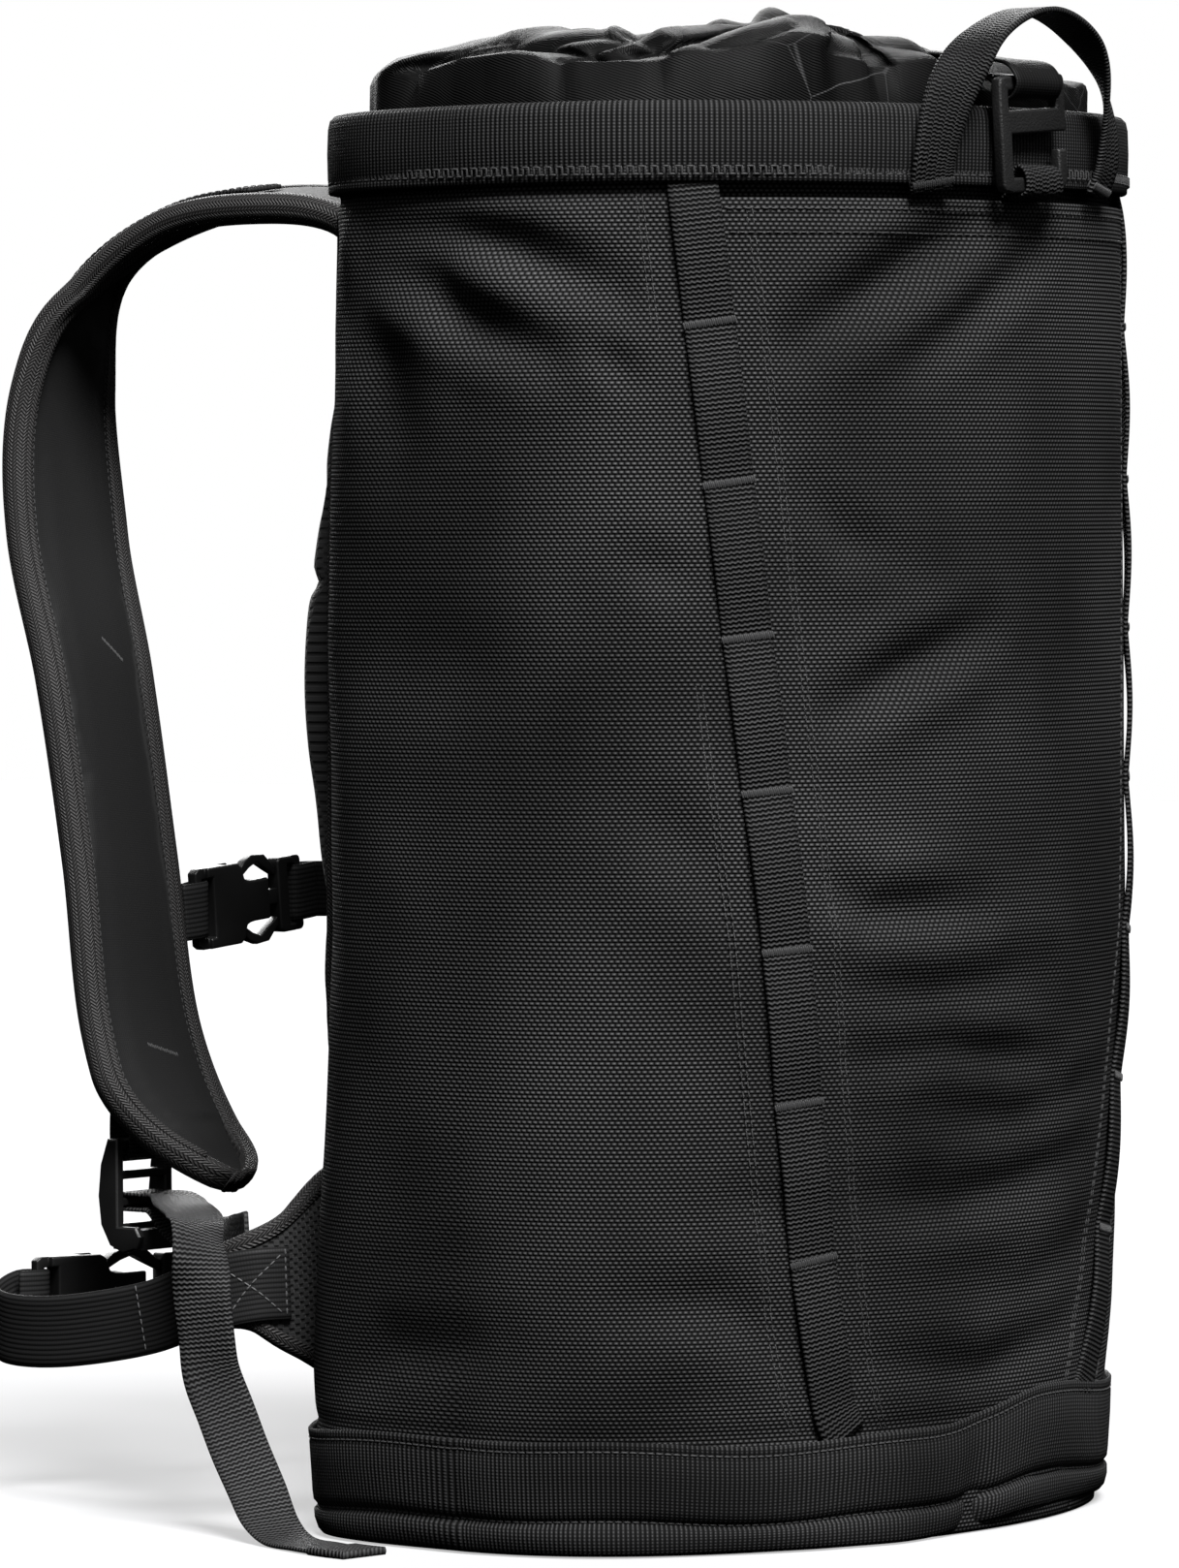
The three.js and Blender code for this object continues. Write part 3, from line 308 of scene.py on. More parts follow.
def relief(angle, z):
    """How far the cloth stands out of its plain shape, in creases and slow swells."""
    angle, z = np.broadcast_arrays(angle, np.asarray(z, float))
    around = girth(angle)
    lap = girth(2 * math.pi) - girth(0.0)
    total = np.zeros(z.shape)
    for crease in CREASES:
        for turn in (-lap, 0, lap):
            total += crease_depth(around + turn, z, crease)
    swell = np.sin(around / 31 + z / 47) + np.sin(around / 23 - z / 38 + 1.7)
    ripple = np.sin(around / 9.1 + 2.2 * np.sin(z / 33)) * np.sin(z / 13.7 + around / 41)
    total += 0.55 * swell + 0.22 * ripple
    loose = smoothstep(z, BASE_BAND, BASE_BAND + 22) * (1 - smoothstep(z, SEAM_TOP - 16, SEAM_TOP - 1))
    return total * loose


def neck(z):
    """The body draws in a little under the rim band, and above the base band."""
    top = -2.2 * np.exp(-(((z - SEAM_TOP + 1) / 3.5) ** 2))
    return top - 1.0 * np.exp(-(((z - BASE_BAND - 1) / 3.0) ** 2))


# ---- Shader graphs ----


class Value:
    """A number in a shader graph. Arithmetic on it adds Math nodes."""

    def __init__(self, graph, socket):
        self.graph, self.socket = graph, socket

    def do(self, operation, *others):
        return self.graph.math(operation, self, *others)

    def __add__(self, other):
        return self.do("ADD", other)

    def __sub__(self, other):
        return self.do("SUBTRACT", other)

    def __rsub__(self, other):
        return self.graph.math("SUBTRACT", other, self)

    def __mul__(self, other):
        return self.do("MULTIPLY", other)

    __radd__, __rmul__ = __add__, __mul__

    def wave(self, pitch):
        """A cosine from 0 to 1 that repeats each `pitch`."""
        return (self * (2 * math.pi / pitch)).do("COSINE") * 0.5 + 0.5

    def power(self, exponent):
        return self.do("POWER", exponent)


class Graph:
    """A material's node tree with the few nodes that the fabrics use."""

    def __init__(self, name):
        self.material = bpy.data.materials.new(name)
        self.material.use_nodes = True
        self.nodes = self.material.node_tree.nodes
        self.links = self.material.node_tree.links
        self.shader = self.nodes["Principled BSDF"]

    def plug(self, socket, value):
        if isinstance(value, Value):
            self.links.new(value.socket, socket)
        else:
            socket.default_value = value

    def math(self, operation, *values):
        node = self.nodes.new("ShaderNodeMath")
        node.operation = operation
        for socket, value in zip(node.inputs, values):
            self.plug(socket, value)
        return Value(self, node.outputs[0])

    def weave(self):
        """Place across and along the cloth, in millimetres."""
        node = self.nodes.new("ShaderNodeAttribute")
        node.attribute_name = "weave"
        split = self.nodes.new("ShaderNodeSeparateXYZ")
        self.links.new(node.outputs["Vector"], split.inputs[0])
        return Value(self, split.outputs[0]), Value(self, split.outputs[1])

    def noise(self, scale, detail=2.0, stretch=(1, 1, 1)):
        """Noise in object space: `scale` is per metre."""
        place = self.nodes.new("ShaderNodeTexCoord")
        mapping = self.nodes.new("ShaderNodeMapping")
        mapping.inputs["Scale"].default_value = stretch
        node = self.nodes.new("ShaderNodeTexNoise")
        node.inputs["Scale"].default_value = scale
        node.inputs["Detail"].default_value = detail
        self.links.new(place.outputs["Object"], mapping.inputs["Vector"])
        self.links.new(mapping.outputs[0], node.inputs["Vector"])
        return Value(self, node.outputs[0])

    def blend(self, factor, dark, light):
        node = self.nodes.new("ShaderNodeMix")
        node.data_type = "RGBA"
        colours = [s for s in node.inputs if s.type == "RGBA"]
        self.plug(node.inputs[0], factor)
        for socket, colour in zip(colours, (dark, light)):
            if isinstance(colour, Value):
                self.links.new(colour.socket, socket)
            else:
                socket.default_value = (*colour, 1)
        return Value(self, [s for s in node.outputs if s.type == "RGBA"][0])

    def finish(self, colour, roughness, height=None, depth=0.3, sheen=0.0, specular=0.5, metallic=0.0):
        """Sets the shader: `depth` is how deep the relief `height` goes, in millimetres."""
        if isinstance(colour, Value):
            self.links.new(colour.socket, self.shader.inputs["Base Color"])
        else:
            self.shader.inputs["Base Color"].default_value = (*colour, 1)
        self.plug(self.shader.inputs["Roughness"], roughness)
        self.shader.inputs["Metallic"].default_value = metallic
        self.shader.inputs["Specular IOR Level"].default_value = specular
        if sheen:
            self.shader.inputs["Sheen Weight"].default_value = sheen
            self.shader.inputs["Sheen Roughness"].default_value = 0.45
        if height is not None:
            bump = self.nodes.new("ShaderNodeBump")
            bump.inputs["Distance"].default_value = depth * MM
            bump.inputs["Strength"].default_value = 1.0
            self.links.new(height.socket, bump.inputs["Height"])
            self.links.new(bump.outputs[0], self.shader.inputs["Normal"])
        return self.material


def grey(level, warmth=0.0):
    return (level * (1 + warmth), level, level * (1 - warmth * 0.5 + 0.02))


def ballistic_nylon():
    """Rows of wide thread ends, each row stepped by half a thread; the thread ends are painted light as
    highlights and the gaps between them painted near black as shade.
    """
    g = Graph("ballistic_nylon")
    u, v = g.weave()
    pitch, row = 2.1, 1.4
    step = (v * (1 / (2 * row)) + 0.25).do("FRACT").do("LESS_THAN", 0.5) * (pitch / 2)
    rows = (v * (math.pi / row)).do("COSINE").do("ABSOLUTE").power(0.9)
    threads = (u + step).wave(pitch).power(0.45)
    dots = rows * threads
    # Broad random dark patches: painted shade standing in for the creases' shading.
    cloudy = (g.noise(8.0, 3.0) * 2.4 - 0.6).do("MAXIMUM", 0.15)
    # Painted highlight on the thread ends and painted shade in the gaps, darkened further in the
    # painted-shade patches.
    colour = g.blend(dots.power(1.7) * cloudy * 0.8, grey(0.0002), grey(0.115))
    return g.finish(colour, 0.9 - dots * 0.45, dots, 0.55, specular=0.16)


def ribbed_webbing(name, rib, rib_height, light, dark=0.0003, staggers=0, lengthwise=0.0):
    """Webbing with ribs across it every `rib` mm, in columns that step by half a rib."""
    g = Graph(name)
    u, v = g.weave()
    height = None
    if rib:
        wobble = (u * (2 * math.pi / 1.9)).do("SINE") * 0.7 + g.noise(500.0, 1.0) * 1.8
        turn = v * (2 * math.pi / rib) + wobble
        if staggers:
            column = (u * (staggers / NARROW_WEB)).do("FLOOR")
            turn = turn + (column * 0.5).do("FRACT") * (2 * math.pi)
        height = (turn.do("COSINE") * 0.5 + 0.5).power(0.8)
    if lengthwise:
        groove = u.wave(lengthwise).power(0.5)
        fine = v.wave(0.9) * 0.25 + 0.75
        height = groove * fine if height is None else height * (groove * 0.35 + 0.65)
    cloudy = g.noise(14.0, 2.0)
    # Painted highlight on the raised ribs and painted shade in the hollows between them.
    colour = g.blend(height.power(1.5) * (cloudy * 0.8 + 0.5), grey(dark), grey(light))
    return g.finish(colour, 0.85 - height * 0.36, height, rib_height, specular=0.14)


def band_webbing():
    """Wide grosgrain whose ribs stand upright round the bag."""
    g = Graph("band_webbing")
    u, v = g.weave()
    ribs = v.wave(1.75).power(0.8)
    beads = u.wave(1.1) * 0.3 + 0.7
    height = ribs * beads
    cloudy = (g.noise(8.0, 2.0) * 2.0 - 0.4).do("MAXIMUM", 0.2)
    # Painted highlight on the rib crests and painted shade between them; the cloudy patches darken it at
    # random.
    colour = g.blend(height.power(1.4) * cloudy * 0.75, grey(0.0002), grey(0.08))
    return g.finish(colour, 0.88 - height * 0.42, height, 0.5, specular=0.14)


def face_cloth():
    """The smooth, closely woven cloth over the shoulder straps' foam."""
    g = Graph("face_cloth")
    u, v = g.weave()
    fine = u.wave(0.8) * v.wave(0.8)
    pores = g.noise(900.0, 2.0)
    height = fine * 0.5 + pores * 0.5
    colour = g.blend(g.noise(11.0, 3.0) * 0.6 + height * 0.4, grey(0.002), grey(0.0095))
    return g.finish(colour, 0.72, height, 0.08, sheen=0.03, specular=0.2)


def spacer_mesh():
    """An open knit with rows of small round holes."""
    g = Graph("spacer_mesh")
    u, v = g.weave()
    lattice = (u * (2 * math.pi / 3.0)).do("COSINE") * (v * (2 * math.pi / 3.4)).do("COSINE")
    holes = lattice.do("MAXIMUM", 0.0).power(0.5)
    height = 1.0 - holes
    knit = g.noise(1400.0, 1.0)
    colour = g.blend(height * (knit * 0.5 + 0.6), grey(0.002), grey(0.028))
    return g.finish(colour, 0.75, height, 0.6, sheen=0.1, specular=0.3)


def binding_tape():
    """Herringbone tape: slanted ribs that turn back every 4 mm."""
    g = Graph("binding_tape")
    u, v = g.weave()
    chevron = ((u * 0.25).do("FRACT") - 0.5).do("ABSOLUTE") * 4.0
    ribs = (v + chevron).wave(1.35).power(0.8)
    beads = u.wave(1.3) * 0.4 + 0.6
    height = ribs * beads
    colour = g.blend(height * (g.noise(30.0, 2.0) * 0.6 + 0.7), grey(0.0004), grey(0.05, 0.04))
    return g.finish(colour, 0.8 - height * 0.4, height, 0.4, specular=0.3)


def braided_cord():
    g = Graph("braided_cord")
    u, v = g.weave()
    height = (u * 1.1 + v).wave(1.3).do("MAXIMUM", (u * 1.1 - v).wave(1.3))
    return g.finish(g.blend(height, grey(0.006), grey(0.05)), 0.6, height, 0.2, sheen=0.1)


def collar_cloth():
    """Thin coated cloth with fine ribs, a soft shine and faint printed lines in places."""
    g = Graph("collar_cloth")
    u, v = g.weave()
    ribs = (u * 0.35 + v).wave(0.95)
    crumple = g.noise(60.0, 3.0)
    height = ribs * 0.35 + crumple * 0.65
    cells = g.nodes.new("ShaderNodeTexVoronoi")
    cells.feature = "DISTANCE_TO_EDGE"
    cells.inputs["Scale"].default_value = 0.03
    place = g.nodes.new("ShaderNodeAttribute")
    place.attribute_name = "weave"
    g.links.new(place.outputs["Vector"], cells.inputs["Vector"])
    line = 1.0 - (Value(g, cells.outputs["Distance"]) * 110.0).do("MINIMUM", 1.0)
    patches = (g.noise(11.0, 1.0) * 9.0 - 5.0).do("MAXIMUM", 0.0).do("MINIMUM", 1.0)
    cloth = g.blend(ribs, grey(0.0005), grey(0.0035))
    colour = g.blend(line * patches * 0.5, cloth, grey(0.12))
    return g.finish(colour, 0.64 - crumple * 0.14, height, 0.45, specular=0.12)


def moulded_plastic(name="moulded_plastic", grain=0.05, roughness=0.4):
    g = Graph(name)
    speckle = g.noise(1500.0, 2.0)
    clouds = g.noise(40.0, 2.0)
    colour = g.blend(clouds, grey(0.003), grey(0.009))
    rough = clouds * 0.16 + (roughness - 0.06)
    return g.finish(colour, rough, speckle, grain, specular=0.5)


def thread(name, level):
    g = Graph(name)
    twist = g.noise(1800.0, 1.0)
    colour = g.blend(twist, grey(level * 0.35), grey(level))
    return g.finish(colour, 0.55, twist, 0.06, sheen=0.1, specular=0.3)


def spring_steel():
    g = Graph("spring_steel")
    drawn = g.noise(400.0, 2.0, (1, 1, 6))
    return g.finish(g.blend(drawn, grey(0.35), grey(0.55)), 0.3, drawn, 0.02, metallic=1.0)


def studio_floor():
    g = Graph("studio_floor")
    g.shader.inputs["Emission Color"].default_value = (1, 1, 1, 1)
    g.shader.inputs["Emission Strength"].default_value = 0.5
    return g.finish(g.blend(g.noise(1.5, 2.0), grey(0.22), grey(0.24)), 0.9, specular=0.0)


NYLON = ballistic_nylon()
DAISY_WEB = ribbed_webbing("daisy_webbing", 1.6, rib_height=0.45, light=0.036)
LOOP_WEB = ribbed_webbing("loop_webbing", 1.35, staggers=5, rib_height=0.55, light=0.035)
TAIL_WEB = ribbed_webbing("tail_webbing", 1.65, rib_height=0.45, light=0.055)
BELT_WEB = ribbed_webbing("belt_webbing", 0, lengthwise=1.7, rib_height=0.12, light=0.028, dark=0.004)
STRAP_WEB = ribbed_webbing("strap_webbing", 1.5, rib_height=0.3, light=0.02)
SMOOTH_WEB = ribbed_webbing("smooth_webbing", 0, lengthwise=1.5, rib_height=0.2, light=0.008)
BAND = band_webbing()
FACE = face_cloth()
MESH = spacer_mesh()
BINDING = binding_tape()
SHELL = collar_cloth()
BRAID = braided_cord()
PLASTIC = moulded_plastic()
GRAINED = moulded_plastic("grained_plastic", 0.25, 0.5)
THREAD = thread("thread", 0.045)
PALE_THREAD = thread("pale_thread", 0.14)
STEEL = spring_steel()


# ---- Camera, light and floor ----


def aim_camera():
    yaw, pitch, roll = (math.radians(a) for a in CAMERA_TURN)
    ahead = Vector((math.sin(yaw) * math.cos(pitch), math.cos(yaw) * math.cos(pitch), -math.sin(pitch)))
    level = Vector((math.cos(yaw), -math.sin(yaw), 0))
    raised = level.cross(ahead)
    across = level * math.cos(roll) + raised * math.sin(roll)
    up = raised * math.cos(roll) - level * math.sin(roll)
    data = bpy.data.cameras.new("camera")
    data.lens = CAMERA_LENS
    data.clip_end = 50
    camera = bpy.data.objects.new("camera", data)
    camera.matrix_world = Matrix((across, up, -ahead)).transposed().to_4x4()
    camera.location = CAMERA_AT
    bpy.context.scene.collection.objects.link(camera)
    bpy.context.scene.camera = camera


def add_sun(name, towards, strength, softness):
    """A soft distant light that shines from the direction `towards`."""
    data = bpy.data.lights.new(name, "SUN")
    data.energy = strength
    data.angle = math.radians(softness)
    light = bpy.data.objects.new(name, data)
    light.rotation_euler = Vector(towards).to_track_quat("Z", "Y").to_euler()
    bpy.context.scene.collection.objects.link(light)


def light_studio():
    """A key light from the camera's side, and a weaker one from behind for the other views.

    The white surround shows, but doesn't light the bag.
    """
    add_sun("key", (-0.47, -0.81, 1.3), 7.8, 26)
    add_sun("fill", (-0.5, -1.0, 0.25), 0.22, 60)
    add_sun("top", (0, 0, 1), 0.55, 150)
    add_sun("rear", (0.75, 0.8, 0.6), 3.4, 40)
    world = bpy.data.worlds.new("studio")
    world.use_nodes = True
    world.node_tree.nodes["Background"].inputs["Color"].default_value = (1, 1, 1, 1)
    world.node_tree.nodes["Background"].inputs["Strength"].default_value = 1.0
    world.cycles_visibility.diffuse = False
    world.cycles_visibility.glossy = False
    bpy.context.scene.world = world
    bpy.context.scene.view_settings.view_transform = "Standard"


def lay_floor():
    """A pale floor, lit from within so that shadows on it stay light."""
    reach = 6.0
    mesh = bpy.data.meshes.new("floor")
    corners = [(-reach, -reach, 0), (reach, -reach, 0), (reach, reach, 0), (-reach, reach, 0)]
    mesh.from_pydata(corners, [], [(0, 1, 2, 3)])
    mesh.materials.append(studio_floor())
    floor = bpy.data.objects.new("floor", mesh)
    floor.visible_diffuse = False
    floor.visible_glossy = False
    bpy.context.scene.collection.objects.link(floor)


# ---- Webbing, tubes and stitches ----


def ribbon(name, route, width, thickness, material, swell=None, **options):
    """Webbing with rounded selvedges. `swell` scales its thickness along the route."""
    half, h = width / 2, thickness / 2
    inner = np.linspace(-half + 0.5, half - 0.5, max(4, int(width / 2.2)))
    across = np.concatenate([[-half], inner, [half]])
    lift = np.concatenate([[0.3], np.ones(len(inner)), [0.3]])
    thick = h * (np.ones(len(route.s)) if swell is None else swell)
    top = [route.offset(x, thick * f) for x, f in zip(across, lift)]
    bottom = [route.offset(x, -thick * f) for x, f in zip(across, lift)]
    rings = np.stack([*top, *bottom[::-1]], axis=1)
    weave = weave_rings(np.concatenate([across, across[::-1]]) + half, route)
    return loft(name, rings, weave, material, "webbing", **options)


def tube(name, route, across, deep, material, slot, sides, **options):
    """An oval section swept along a route: `across` its breadth and `deep` through it."""
    turn = np.linspace(0, 2 * math.pi, sides, endpoint=False) + math.pi / sides
    rings = np.stack([route.offset(across * math.cos(t), deep * math.sin(t)) for t in turn], axis=1)
    weave = weave_rings(turn * (across + deep) / 2, route)
    return loft(name, rings, weave, material, slot, **options)


STITCH_RINGS = ((-0.42, 0.62), (-0.2, 1.0), (0.2, 1.0), (0.42, 0.62))
STITCH_SIDES = 6


def stitches(name, seams, material=THREAD, *, length, thick, body="bag", slot="webbing"):
    """Raised stitches, one at each row of (place, direction, face normal) in `seams`."""
    place, along, normal = (np.concatenate([np.asarray(s[k], float) for s in seams]) for k in range(3))
    along, normal = unit(along), unit(normal)
    side = unit(np.cross(along, normal))
    turn = np.linspace(0, 2 * math.pi, STITCH_SIDES, endpoint=False)
    parts = [place - along * length / 2]
    for share, size in STITCH_RINGS:
        for t in turn:
            arm = side * math.cos(t) * thick / 2 + normal * math.sin(t) * thick / 2.6
            parts.append(place + along * share * length + arm * size)
    parts.append(place + along * length / 2)
    points = np.stack(parts, axis=1)
    each = points.shape[1]
    faces = []
    for k in range(STITCH_SIDES):
        n = (k + 1) % STITCH_SIDES
        faces.append((0, 1 + n, 1 + k, 1 + k))
        for ring in range(len(STITCH_RINGS) - 1):
            a = 1 + ring * STITCH_SIDES
            b = a + STITCH_SIDES
            faces.append((a + k, a + n, b + n, b + k))
        tail = 1 + (len(STITCH_RINGS) - 1) * STITCH_SIDES
        faces.append((tail + k, tail + n, each - 1, each - 1))
    cleaned = [tuple(dict.fromkeys(f)) for f in faces]
    every = [tuple(i + start for i in f) for start in range(0, each * len(place), each) for f in cleaned]
    weave = np.zeros((each * len(place), 3))
    return make_piece(name, points.reshape(-1, 3), every, weave, material, slot, body=body)


def seam_row(path, normals, pitch=3.4, lift=0.1):
    """Places for stitches along a path, end to end."""
    path, normals = np.asarray(path, float), unit(normals)
    run = np.concatenate([[0], np.cumsum(np.linalg.norm(np.diff(path, axis=0), axis=1))])
    at = np.arange(pitch / 2, run[-1], pitch)
    place = np.stack([np.interp(at, run, path[:, k]) for k in range(3)], 1)
    normal = np.stack([np.interp(at, run, normals[:, k]) for k in range(3)], 1)
    ahead = np.stack([np.interp(at + 0.5, run, path[:, k]) for k in range(3)], 1)
    behind = np.stack([np.interp(at - 0.5, run, path[:, k]) for k in range(3)], 1)
    return place + normal * lift, ahead - behind, normal


def route_row(route, side, out, pitch):
    """Stitches along a webbing, `side` across it and `out` from its middle."""
    return seam_row(route.offset(side, out), route.normal * np.sign(out), pitch, 0.05)


def bar_tack(centre, across, along, normal, width, threads, lean=0.0):
    """A satin bar: close threads side by side across a webbing."""
    across, along, normal = (unit(v) for v in (across, along, normal))
    shift = np.linspace(-width / 2, width / 2, threads)[:, None]
    jitter = (np.sin(np.arange(threads) * 2.4) * 0.16)[:, None]
    place = np.asarray(centre, float) + across * shift + along * (jitter + lean * shift)
    ones = np.ones((threads, 1))
    tilt = along + across * 0.12
    return place, tilt * ones, normal * ones


def tack_on(route, i, out, width, threads, ahead=1, lean=0.0):
    """A bar tack across a webbing at its sample `i`, `out` from its middle on either face."""
    centre = route.at[i] + route.normal[i] * out
    face = route.normal[i] * np.sign(out)
    return bar_tack(centre, route.wide[i], route.tangent[i] * ahead, face, width, threads, lean)


# ---- Adjusters' free tails ----

LADDER = np.array([100, 190.6, 111.0])
WRAP_END, WRAP_LOW, WRAP_HIGH = -9, -7.6, -2.4
TAIL_PATH = [
    (100.3, 176, 108.5, 0),
    (103, 170, 107.6, 0),
    (110, 162, 106.5, 12),
    (121, 149, 106, 20),
    (134, 134, 105, 5),
    (145, 123, 102, 0),
    (151, 116, 93, 25),
    (152.5, 114, 80, 60),
    (152.5, 112, 66, 66),
    (152.5, 110, 54, 60),
    (153, 103, 41, 52),
    (155, 95, 29, 50),
    (158, 85, 17, 45),
    (162, 75, 6.5, 32),
    (166, 64, 1.6, 22),
    (172, 46, 1.2, 14),
    (176, 30, 1.2, 10),
    (177, 20, 1.2, 8),
]
FOLDED_END = 17  # the tail's end is folded back on itself and stitched


def ladder_point(side, y, z):
    return (side * LADDER[0], LADDER[1] + y, LADDER[2] + z)


def adjuster_tail(side, word):
    start = [ladder_point(side, y, WRAP_HIGH) for y in (WRAP_END - 0.4, WRAP_END - 2)]
    points = start + [(side * x, y, z) for x, y, z, _ in TAIL_PATH]
    turns = [math.radians(heading) for *_, heading in TAIL_PATH]
    across = [(1, 0, 0)] * 2 + [(math.cos(t), side * math.sin(t), 0) for t in turns]
    route = Route(points, across, 1.5)
    from_end = route.length - route.s
    fold = 1 + 0.9 * smoothstep(FOLDED_END + 1 - from_end, 0, 1.5)
    tail = ribbon(
        f"adjuster_tail_{word}_webbing", route, NARROW_WEB, 1.5, TAIL_WEB, swell=fold,
        stands_for=[f"adjuster_tail_{word}"],
    )
    rows = []
    for inset in (5, 14):
        i = int(np.argmin(np.abs(from_end - inset)))
        rows += [tack_on(route, i, out, 17, 9) for out in (1.35, -1.35)]
    sewn = stitches(f"tail_fold_stitches_{word}", rows, length=1.0, thick=0.5)
    sewn.parent = tail
    return tail


aim_camera()
light_studio()
lay_floor()
for side, word in SIDES:
    adjuster_tail(side, word)


# ---- Bag body ----


def wrap(angle):
    return (angle + math.pi) % (2 * math.pi) - math.pi


def seam_calm(angle, z):
    """Creases fade where the daisy chains hold the cloth."""
    folded = wrap(angle)
    seam = front_seam(z)
    gap = np.minimum(
        np.abs(girth(folded) - girth(-math.pi + seam)), np.abs(girth(folded) - girth(-seam))
    )
    return 0.3 + 0.7 * smoothstep(gap, 8, 30)


def cloth_out(angle, z):
    return relief(angle, z) * seam_calm(angle, z) + neck(z)


def panel(name, start, end, top, out, thickness, node, step=2.6):
    z = np.arange(0.4, top, step)
    z = np.append(z, top)[:, None]
    first, last = girth(start(z)), girth(end(z))
    columns = max(6, int(np.ptp([first.min(), last.max()]) / step))
    angle = angle_at(first + (last - first) * np.linspace(0, 1, columns))
    stand = out(angle, z)
    outside = skin(z, angle, stand)
    inside = skin(z, angle, stand - thickness)
    cloth = np.stack([girth(angle), np.broadcast_to(z, angle.shape), 0 * angle], -1)
    rings = np.concatenate([outside, inside[:, ::-1]], axis=1)
    weave = np.concatenate([cloth, cloth[:, ::-1]], axis=1)
    piece = loft(name, rings, weave, NYLON, "ballistic_nylon", stands_for=[node])
    return piece


SEAM_GAP = 0.003
PANEL_TOP = BAG_HEIGHT - 3
POCKET_DEPTH = 4.5


def bag_cloth():
    def front_from(z):
        return -math.pi + front_seam(z) + SEAM_GAP

    def front_to(z):
        return -front_seam(z) - SEAM_GAP

    def hem(angle, z):
        edge = np.exp(-(((z - POCKET_TOP + 1.2) / 1.6) ** 2))
        roll = np.exp(-(((z - POCKET_TOP + 10) / 2.5) ** 2))
        return cloth_out(angle, z) + 0.9 * edge + 0.3 * roll

    def behind_pocket(angle, z):
        return -POCKET_DEPTH * (1 - smoothstep(z, 444, SEAM_TOP + 3)) + neck(z)

    def flat_back(angle, z):
        return relief(angle, z) * 0.4 + neck(z)

    panel("left_side_cloth", lambda z: math.pi - back_seam(z) + SEAM_GAP,
          lambda z: math.pi + front_seam(z) - SEAM_GAP, PANEL_TOP, cloth_out, FABRIC, "side_panel_left")
    panel("right_side_cloth", lambda z: -front_seam(z) + SEAM_GAP,
          lambda z: back_seam(z) - SEAM_GAP, PANEL_TOP, cloth_out, FABRIC, "side_panel_right")
    panel("back_cloth", lambda z: back_seam(z) + SEAM_GAP,
          lambda z: math.pi - back_seam(z) - SEAM_GAP, PANEL_TOP, flat_back, FABRIC, "back_panel", 5)
    panel("inner_front_cloth", front_from, front_to, PANEL_TOP, behind_pocket, 2.5, "front_wall", 5)
    panel("front_pocket_cloth", front_from, front_to, POCKET_TOP, hem, 1.8, "front_pocket_panel")


BAND_STEPS = 420


def ring_band(name, profile, node, kink):
    """Webbing all round the bag from its profile of (out, z, place across), joined at the back."""
    start = math.pi / 2 + 0.002
    distance = np.linspace(girth(start), girth(start + 2 * math.pi) - 0.8, BAND_STEPS)
    angle = angle_at(distance)[:, None]
    out, z, u = (np.array(column, float)[None, :] for column in zip(*profile))
    push, raise_by = kink(angle, z)
    rings = skin(np.clip(z, 0, BAG_HEIGHT), angle, out + push)
    rings[..., 2] = np.broadcast_to(z, rings.shape[:2]) + raise_by
    weave = np.stack(np.broadcast_arrays(u, distance[:, None], 0 * angle), -1)
    return loft(name, rings, weave, BAND, "webbing", stands_for=[node])


def rim_kink(angle, z):
    around = girth(angle)
    return 0.35 * np.sin(around / 37 + 0.5) + 0.2 * np.sin(around / 15), 0.35 * np.sin(around / 52 + 1)


def base_kink(angle, z):
    """The base band buckles where the bag has been set down, and is pushed up on its right."""
    around = girth(wrap(angle))
    degrees = np.degrees(wrap(angle))
    low = 1 - smoothstep(z, 4, BASE_BAND)
    dent = np.exp(-(((around - girth(math.radians(-92))) / 8) ** 2))
    swell = np.exp(-(((around - girth(math.radians(-106))) / 15) ** 2))
    push = 2.6 * swell - 3.4 * dent + 0.7 * np.sin(around / 29) + 0.4 * np.sin(around / 13 + 2)
    push = push + 0.8 * np.sin(z / 5.5 + around / 24) * np.sin(around / 37 + 1)
    pushed_up = smoothstep(degrees, -102, -78) * (1 - 0.35 * smoothstep(degrees, -72, -30))
    pushed_up *= 1 - smoothstep(degrees, 5, 50)
    lift = pushed_up * (4.2 + 3.8 * smoothstep(z, 8, BASE_BAND))
    lift = lift + (1.1 * np.sin(around / 34 + 1.0) + 0.7 * np.sin(around / 15)) * smoothstep(z, 3, 14)
    return push * (0.35 + 0.65 * low), lift


